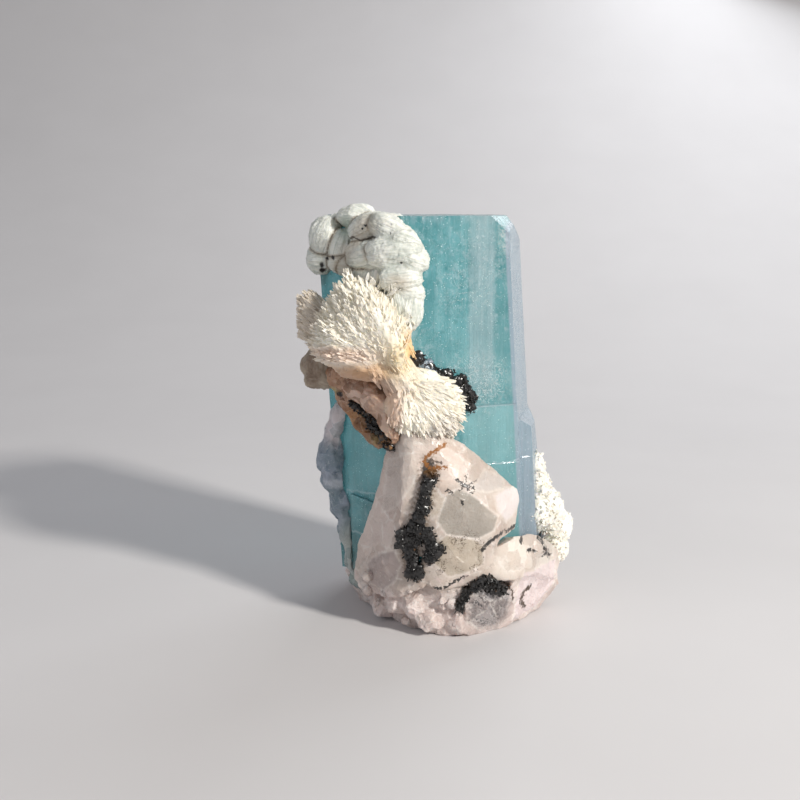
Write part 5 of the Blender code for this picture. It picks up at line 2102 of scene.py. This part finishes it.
@dataclass
class BlackCrust:
    """A tourmaline crust: a knobbly core and short columns that stand out of it."""

    name: str
    node: str
    count: int
    length: Pair
    width: Pair
    seed: int
    voxel: float = 0.2
    thinned: float = 0.3
    sunk_top: float = 0.0
    highest: float = 99.0

    def build(self, material: bpy.types.Material) -> bpy.types.Object:
        """Build and dress the crust.

        Args:
            material: The tourmaline's material.

        Returns:
            The crust.
        """
        core = cad_copy(self.node, self.name)
        remesh(core, self.voxel, 4)
        roughen(core, Grain.CLOUDS, 1.6, 1.1, 0.85)
        roughen(core, Grain.RIDGES, 0.8, 0.5, 0.9)
        modify(core, "DISPLACE", strength=-self.thinned * MM, mid_level=0.0)
        if self.sunk_top > 0.0:
            top = grade(core, "top", lambda p: 0.22 + (p.z - 37.4) / 2.0)
            sunk = {"strength": self.sunk_top * MM, "mid_level": 0.0, "vertex_group": top}
            modify(core, "DISPLACE", direction="Y", **sunk)
        lay_map(core, 0, 2)
        columns = [add_column(f"column_{n}", 5 + n, 0.12 + 0.1 * n) for n in range(3)]
        places = scatter(
            core, self.count, self.seed, self.wanted, self.size, 1.1, 0.42
        )
        grains = copy_to(columns, places, self.name + "_columns", self.seed)
        discard(*columns)
        deselect_all()
        grains.select_set(True)
        core.select_set(True)
        bpy.context.view_layer.objects.active = core
        bpy.ops.object.join()
        shade(core, 30.0)
        return dress(core, material, "tourmaline", self.node)

    def wanted(self, point: Vector, normal: Vector) -> bool:
        """Whether columns stand at a point in millimetres."""
        return point.z < self.highest

    def size(self, dice: random.Random) -> Triple:
        """Length, width and depth of one column in millimetres."""
        width = dice.uniform(*self.width)
        return (dice.uniform(*self.length), width, width * dice.uniform(0.7, 1.0))


@dataclass
class BladeCoat:
    """Small blades that stand close together on a lobed growth."""

    name: str
    slot: str
    count: int
    length: Pair
    width: Pair
    seed: int
    tilt: float = 0.6
    wanted: Callable[[Vector, Vector], bool] = lambda point, normal: True

    def build(self, ground: bpy.types.Object, material: bpy.types.Material) -> bpy.types.Object:
        """Build and dress the blades.

        Args:
            ground: The growth that they stand on.
            material: The albite's material.

        Returns:
            The blades.
        """
        blades = [add_blade(f"coat_{n}", lean) for n, lean in enumerate((0.0, 0.4, -0.4))]
        sink = self.length[0] * 0.45
        places = scatter(ground, self.count, self.seed, self.wanted, self.size, self.tilt, sink)
        item = copy_to(blades, places, self.name, self.seed)
        discard(*blades)
        shade(item, 25.0)
        return dress(item, material, self.slot)

    def size(self, dice: random.Random) -> Triple:
        """Length, width and thickness of one blade in millimetres."""
        return (dice.uniform(*self.length), dice.uniform(*self.width), dice.uniform(0.2, 0.45))


@dataclass
class BladeTufts:
    """White blades in tufts on lobed albite."""

    name: str
    slot: str
    tufts: tuple[tuple[Triple, Triple, float, int], ...]
    seed: int
    width: Pair = (0.7, 1.5)

    def build(self, material: bpy.types.Material) -> bpy.types.Object:
        """Build and dress the tufts.

        Args:
            material: The albite's material.

        Returns:
            The tufts.
        """
        dice = random.Random(self.seed)
        places = []
        for root, way, reach, count in self.tufts:
            for _ in range(count):
                along = Vector(way).normalized()
                along += Vector([dice.uniform(-0.5, 0.5) for _ in range(3)])
                start = Vector(root) + Vector([dice.uniform(-0.9, 0.9) for _ in range(3)])
                out = Vector([dice.uniform(-1, 1) for _ in range(3)])
                length = reach * dice.uniform(0.55, 1.0)
                wide, thick = dice.uniform(*self.width), dice.uniform(0.25, 0.5)
                size = Matrix.Diagonal((length * MM, wide * MM, thick * MM, 1.0))
                turned = orientation(along, out)
                places.append(Matrix.Translation(start * MM) @ turned @ size)
        blades = [add_blade(f"tuft_{n}", lean) for n, lean in enumerate((0.0, 0.4, -0.4))]
        item = copy_to(blades, places, self.name, self.seed)
        discard(*blades)
        shade(item, 30.0)
        return dress(item, material, self.slot)


# --- Studio ---------------------------------------------------------------------------------------


@dataclass
class Studio:
    """Pale floor that sweeps up behind, soft light and the camera."""

    floor_reach: float = 3.0
    sweep_start: float = 0.9
    sweep_height: float = 2.0
    sweep_bend: float = 0.7
    lens: float = 49.5
    camera_place: Triple = (-0.0095, -0.257, 0.094)
    camera_tilt: float = 80.0
    key_power: float = 8.8
    fill: float = 0.28

    def build(self, material: bpy.types.Material) -> None:
        """Set up the studio.

        Args:
            material: The floor's material.
        """
        deselect_all()
        reach = self.floor_reach
        bpy.ops.mesh.primitive_plane_add(
            size=1.0, location=(0.0, (self.sweep_start - reach) / 2, 0.0)
        )
        floor = bpy.context.object
        floor.scale = (2 * reach, reach + self.sweep_start, 1.0)
        settle(floor)
        floor.name = "floor"
        with edit_mode(floor):
            shape = bmesh.from_edit_mesh(floor.data)
            for edge in shape.edges:
                edge.select_set(all(abs(v.co.y - self.sweep_start) < 1e-4 for v in edge.verts))
            shape.select_flush_mode()
            bpy.ops.mesh.select_mode(type="EDGE")
            bpy.ops.mesh.extrude_region_move(
                TRANSFORM_OT_translate={"value": (0.0, 0.0, self.sweep_height)}
            )
            shape = bmesh.from_edit_mesh(floor.data)
            for edge in shape.edges:
                ends = [v.co for v in edge.verts]
                edge.select_set(all(co.z < 1e-4 and co.y > self.sweep_start - 1e-4 for co in ends))
            bpy.ops.mesh.bevel(offset=self.sweep_bend, segments=24, affect="EDGES")
        shade(floor)
        floor.data.materials.append(material)
        world = bpy.data.worlds.new("studio")
        bpy.context.scene.world = world
        world.use_nodes = True
        sky = world.node_tree.nodes["Background"]
        sky.inputs["Color"].default_value = (0.93, 0.95, 1.0, 1.0)
        sky.inputs["Strength"].default_value = self.fill
        bpy.context.scene.view_settings.view_transform = "Standard"
        self.add_light("key", 47.0, 29.0, 0.9, 0.09, self.key_power, (1.0, 0.96, 0.90))
        self.add_light("rim", 150.0, 35.0, 0.8, 0.5, 2.2, (0.92, 0.96, 1.0))
        self.add_light("side", -60.0, 25.0, 0.8, 0.7, 1.0, (0.94, 0.96, 1.0))
        tilt = (math.radians(self.camera_tilt), 0.0, 0.0)
        bpy.ops.object.camera_add(location=self.camera_place, rotation=tilt)
        camera = bpy.context.object
        camera.data.lens = self.lens
        camera.data.sensor_width = 36.0
        camera.data.clip_start = 0.001
        bpy.context.scene.camera = camera

    @staticmethod
    def add_light(
        name: str, turn: float, rise: float, far: float, size: float, power: float, colour: Triple
    ) -> None:
        """Add a square soft light that faces the specimen.

        Args:
            name: Its name.
            turn: Its turn round the specimen in degrees; 0 is the front.
            rise: Its height above the horizon in degrees.
            far: Its distance in metres.
            size: Its width in metres.
            power: Its power in watts.
            colour: Its colour.
        """
        turn, rise = math.radians(turn), math.radians(rise)
        way = Vector(
            (math.sin(turn) * math.cos(rise), -math.cos(turn) * math.cos(rise), math.sin(rise))
        )
        facing = way.to_track_quat("Z", "Y").to_euler()
        place = way * far + Vector((0.0, 0.0, 0.045))
        bpy.ops.object.light_add(type="AREA", location=place, rotation=facing)
        light = bpy.context.object
        light.name = name
        light.data.energy = power
        light.data.size = size
        light.data.color = colour


# --- Places of the growths ------------------------------------------------------------------------

NODULE_LOBES: tuple[Lobe, ...] = (
    Lobe(-28.2, -6.4, 57.6, (0.0, 0.0, 1.0), (-0.5, -1.0, 0.0), 7.6, 6.4, 4.4),
    Lobe(-30.5, -6.4, 57.8, (0.0, 0.0, 1.0), (-0.3, -1.0, 0.1), 5.2, 4.4, 3.6),
    Lobe(-29.5, -6.6, 54.6, (1.0, 0.0, 0.0), (-0.3, -1.0, -0.2), 4.8, 4.4, 3.6),
    Lobe(-26.6, -7.2, 54.8, (1.0, 0.0, 0.0), (-0.5, -1.0, 0.0), 5.0, 4.6, 3.4),
    Lobe(-28.8, -6.2, 60.2, (1.0, 0.0, 0.3), (-0.3, -1.0, 0.2), 4.6, 4.0, 3.4),
)
CROWN_LOBES: tuple[Lobe, ...] = (
    Lobe(-26.2, -9.4, 87.6, (0.3, -0.3, 1.0), TOWARD_LEFT_FACE, 9.0, 7.2, 6.2),
    Lobe(-27.2, -7.8, 82.2, (1.0, -0.6, 0.0), TOWARD_LEFT_FACE, 7.2, 6.2, 5.8),
    Lobe(-18.9, -11.6, 91.9, (0.8, -0.6, 0.0), (0.0, 0.0, 1.0), 8.8, 8.0, 5.6),
    Lobe(-22.8, -7.0, 90.4, (0.5, 0.5, 0.2), (0.0, 0.0, 1.0), 6.0, 6.0, 4.6),
    Lobe(-16.8, -17.4, 89.4, (0.75, -0.55, 0.4), (-0.5, -0.85, 0.0), 9.6, 5.8, 5.2),
    Lobe(-11.4, -21.2, 89.4, (0.8, -0.2, -0.35), (-0.2, -1.0, 0.2), 10.2, 6.4, 5.4),
    Lobe(-8.2, -23.0, 86.9, (1.0, 0.2, -0.4), TOWARD_VIEWER, 6.8, 4.6, 3.8),
    Lobe(-16.4, -18.2, 83.8, (0.8, -0.5, 0.15), TOWARD_LEFT_FACE, 11.0, 6.4, 5.4),
    Lobe(-11.0, -22.6, 84.2, (1.0, -0.25, 0.1), (-0.2, -1.0, 0.0), 11.6, 6.8, 5.2),
    Lobe(-6.6, -23.2, 83.0, (1.0, 0.3, -0.35), (0.2, -1.0, 0.0), 7.0, 5.6, 4.2),
    Lobe(-20.4, -13.8, 80.8, (0.8, -0.6, 0.0), TOWARD_LEFT_FACE, 7.6, 4.8, 4.4),
    Lobe(-9.4, -23.4, 78.8, (1.0, 0.0, 0.1), TOWARD_VIEWER, 9.0, 5.4, 4.6),
    Lobe(-7.2, -23.2, 76.2, (1.0, 0.15, -0.1), TOWARD_VIEWER, 6.6, 4.4, 3.8),
    Lobe(-7.2, -23.2, 71.9, (0.15, 0.0, 1.0), TOWARD_VIEWER, 8.6, 5.0, 4.0),
    Lobe(-9.6, -23.4, 74.0, (-0.2, 0.0, 1.0), TOWARD_VIEWER, 6.4, 3.6, 3.4),
    Lobe(-17.2, -16.6, 77.8, (0.1, 0.0, 1.0), TOWARD_LEFT_FACE, 9.0, 7.6, 5.2),
    Lobe(-13.6, -19.6, 77.6, (0.2, 0.0, 1.0), TOWARD_LEFT_FACE, 8.0, 5.4, 4.6),
    Lobe(-22.6, -11.4, 85.6, (0.3, -0.2, 1.0), TOWARD_LEFT_FACE, 7.8, 6.0, 5.0),
    Lobe(-22.6, -11.4, 81.8, (1.0, -0.8, 0.0), TOWARD_LEFT_FACE, 6.6, 5.0, 4.6),
    Lobe(-14.6, -15.6, 91.2, (0.7, -0.5, 0.0), (0.0, 0.0, 1.0), 7.0, 6.6, 3.6),
    Lobe(-27.0, -3.4, 86.6, (0.0, 1.0, 0.1), (-1.0, 0.0, 0.2), 8.0, 7.4, 5.4),
    Lobe(-26.4, 1.6, 84.4, (0.0, 1.0, 0.5), (-1.0, 0.1, 0.0), 8.6, 6.8, 4.8),
    Lobe(-25.2, 6.0, 87.2, (0.1, 1.0, 0.1), (-1.0, 0.2, 0.2), 8.8, 7.0, 5.2),
    Lobe(-25.2, 1.8, 89.0, (0.1, 1.0, 0.1), (-0.7, 0.1, 0.7), 8.0, 6.0, 4.8),
    Lobe(-21.4, 0.8, 90.6, (0.2, 1.0, 0.0), (0.0, 0.0, 1.0), 9.6, 8.6, 4.6),
    Lobe(-19.6, 7.6, 90.4, (0.6, 1.0, 0.0), (0.0, 0.0, 1.0), 9.0, 7.0, 4.4),
    Lobe(-24.4, 9.0, 82.8, (0.2, 1.0, -0.3), (-1.0, 0.3, 0.0), 8.0, 6.0, 4.6),
    Lobe(-22.2, 9.6, 87.0, (0.8, 1.0, 0.1), (-0.7, 0.7, 0.1), 8.6, 7.2, 5.2),
    Lobe(-26.0, -1.6, 80.6, (0.0, 0.3, 1.0), (-1.0, 0.0, 0.0), 8.0, 6.4, 4.6),
    Lobe(-25.2, 4.0, 80.4, (0.0, -0.3, 1.0), (-1.0, 0.1, 0.0), 8.0, 6.0, 4.4),
)
RIGHT_FAN_LOBES: tuple[Lobe, ...] = (
    Lobe(22.6, -1.4, 31.0, (0.1, -0.1, 1.0), (1.0, -0.2, 0.0), 11.0, 4.6, 4.4),
    Lobe(24.8, -2.6, 22.8, (0.5, 0.0, 0.8), (0.4, -1.0, 0.2), 10.6, 9.4, 8.6),
    Lobe(28.2, 0.2, 17.4, (0.7, 0.2, 0.6), (0.4, -1.0, 0.2), 9.0, 8.2, 8.2),
    Lobe(27.8, -0.6, 12.8, (1.0, 0.1, -0.2), (0.3, -1.0, 0.0), 7.6, 7.4, 7.8),
    Lobe(22.6, -6.4, 22.4, (0.3, -0.2, 0.9), (0.5, -1.0, 0.0), 8.0, 6.4, 5.4),
    Lobe(26.6, 6.6, 18.0, (0.3, 0.8, 0.5), (1.0, 0.2, 0.0), 9.6, 7.4, 7.0),
    Lobe(24.0, 7.0, 25.0, (0.0, 0.4, 1.0), (1.0, 0.2, 0.0), 9.4, 6.4, 5.0),
    Lobe(23.6, 13.4, 17.0, (-0.4, 0.8, 0.2), (0.8, 0.6, 0.1), 8.8, 7.0, 6.2),
    Lobe(27.0, 5.2, 11.6, (0.3, 0.8, -0.1), (1.0, 0.2, 0.0), 9.0, 6.4, 6.4),
    Lobe(22.4, 12.0, 22.6, (-0.2, 0.5, 0.8), (0.9, 0.5, 0.0), 8.6, 6.4, 5.0),
    Lobe(25.0, 10.4, 12.6, (-0.4, 0.8, 0.0), (1.0, 0.5, 0.0), 8.6, 6.6, 6.0),
    Lobe(25.2, 2.0, 24.6, (0.1, 0.4, 1.0), (1.0, 0.0, 0.1), 10.4, 7.0, 5.4),
    Lobe(24.0, 3.4, 30.0, (-0.1, 0.3, 1.0), (1.0, 0.0, 0.1), 8.4, 5.0, 4.4),
)
WAIST_LOBES: tuple[Lobe, ...] = (
    Lobe(-10.0, -25.6, 58.6, (0.55, 0.0, -0.83), TOWARD_VIEWER, 13.0, 8.4, 7.4),
    Lobe(-14.2, -24.0, 62.4, (-0.7, 0.3, 0.6), TOWARD_VIEWER, 13.0, 10.0, 8.4),
    Lobe(-28.8, -13.6, 70.6, (-0.2, 0.2, 1.0), TOWARD_VIEWER, 9.4, 6.8, 6.8),
    Lobe(-29.0, -12.8, 66.8, (-0.9, 0.2, 0.2), TOWARD_VIEWER, 6.4, 6.0, 6.0),
)
UPPER_FAN_REACH: tuple[Pair, ...] = (
    (77.0, 11.0), (86.0, 13.4), (95.0, 16.6), (102.0, 19.6), (110.0, 23.4), (117.0, 25.8),
    (125.0, 25.0), (133.0, 24.0), (141.0, 23.6), (149.0, 24.4), (157.0, 23.8), (165.0, 20.6),
    (174.0, 15.4),
)
LOWER_FAN_REACH: tuple[Pair, ...] = (
    (-8.0, 10.4), (-17.0, 14.2), (-25.0, 16.4), (-33.0, 17.8), (-41.0, 19.2), (-50.0, 19.4),
    (-60.0, 18.4), (-72.0, 16.4), (-84.0, 14.6), (-96.0, 12.6),
)
GLASSY_LOBES: tuple[Lobe, ...] = (
    Lobe(-5.6, -23.0, 61.4, (0.5, 0.0, -0.8), TOWARD_VIEWER, 3.2, 2.2, 2.0),
    Lobe(-4.4, -23.0, 59.8, (0.8, 0.0, -0.6), TOWARD_VIEWER, 3.4, 2.4, 2.2),
    Lobe(-2.8, -22.8, 59.2, (1.0, 0.0, -0.3), TOWARD_VIEWER, 2.8, 1.8, 1.8),
    Lobe(-3.4, -22.6, 61.0, (1.0, 0.0, 0.2), TOWARD_VIEWER, 2.6, 1.6, 1.4),
)

CROWN_TUFTS = (
    ((-17.4, -19.6, 75.6), (-0.1, -0.5, 1.0), 4.6, 26),
    ((-14.6, -21.2, 75.4), (0.2, -0.5, 1.0), 4.4, 22),
    ((-20.0, -17.0, 77.0), (-0.3, -0.5, 1.0), 3.4, 14),
    ((-12.0, -23.2, 75.6), (0.4, -0.5, 0.8), 3.4, 14),
    ((-8.0, -23.8, 71.0), (0.1, -0.5, -0.6), 2.6, 12),
)

def main() -> None:
    """Build every piece of the specimen and the studio, and report each piece."""
    logging.basicConfig(level=logging.INFO, format="%(message)s")
    beryl = AquamarineFinish().build()
    albite = AlbiteFinish().build()
    cream = CreamBladeFinish().build()
    white = CreamBladeFinish(
        "albite_bright", (0.88, 0.84, 0.74), (0.93, 0.91, 0.85), (0.72, 0.67, 0.53), ()
    ).build()
    quartz = QuartzFinish().build()
    smoky = SmokyQuartzFinish().build()
    black = TourmalineFinish().build()
    rusty = TourmalineFinish("tourmaline_rusty", 0.4).build()

    AquamarinePrism().build(beryl)
    QuartzMatrix().build(quartz)
    SmokyFlank().build(smoky)
    FeldsparLump().build(FeldsparFinish().build())
    crown = LobedGrowth("crown_lobes", "albite_crown", "white_albite", CROWN_LOBES, 31)
    crown.smooth_rounds = 26
    crown.build(albite)
    LobedGrowth("nodule_lobes", "albite_nodule", "grey_albite", NODULE_LOBES, 41).build(
        NoduleFinish().build()
    )
    cluster = LobedGrowth("fan_lobes", "albite_fan_right", "white_albite", RIGHT_FAN_LOBES, 51)
    cluster.swell = 1.08
    ground = cluster.build(white)
    coat = BladeCoat("fan_coat", "white_albite", 1300, (0.55, 1.15), (0.5, 1.1), 63, 0.9)
    coat.build(ground, white)
    BladeTufts("crown_tufts", "white_albite", CROWN_TUFTS, 61).build(white)
    upper_layers = ((1.0, 0.0, 0.0), (0.95, 10.0, 4.0), (0.84, 21.0, -3.0), (0.94, -12.0, 3.0))
    lower_layers = ((1.0, 0.0, 0.0), (0.92, 8.0, 5.0), (0.96, -10.0, -4.0))
    upper = Fan((-10.6, -25.2, 59.0), UPPER_FAN_REACH, 0.48, upper_layers, 4.8, 9.0)
    lower = Fan((-9.4, -25.4, 58.0), LOWER_FAN_REACH, 0.22, lower_layers, 4.8, 6.0)
    CleavelanditeSheaf(upper, lower, WAIST_LOBES).build(cream)
    BlackCrust("crust_upper", "schorl_upper", 420, (0.35, 0.8), (0.2, 0.45), 71).build(black)
    BlackCrust("crust_hollow", "schorl_lower", 260, (0.6, 1.4), (0.25, 0.55), 72).build(rusty)
    vein = BlackCrust("crust_vein", "schorl_vein", 900, (0.25, 0.62), (0.2, 0.45), 73)
    vein.sunk_top = 2.6
    vein.highest = 38.8
    vein.build(black)
    BlackCrust("crust_foot", "schorl_foot", 420, (0.4, 1.0), (0.22, 0.5), 74).build(black)
    LobedGrowth("glassy_lumps", "", "smoky_quartz", GLASSY_LOBES, 81).build(smoky)
    Studio().build(FloorFinish().build())


if __name__ == "__main__":
    main()
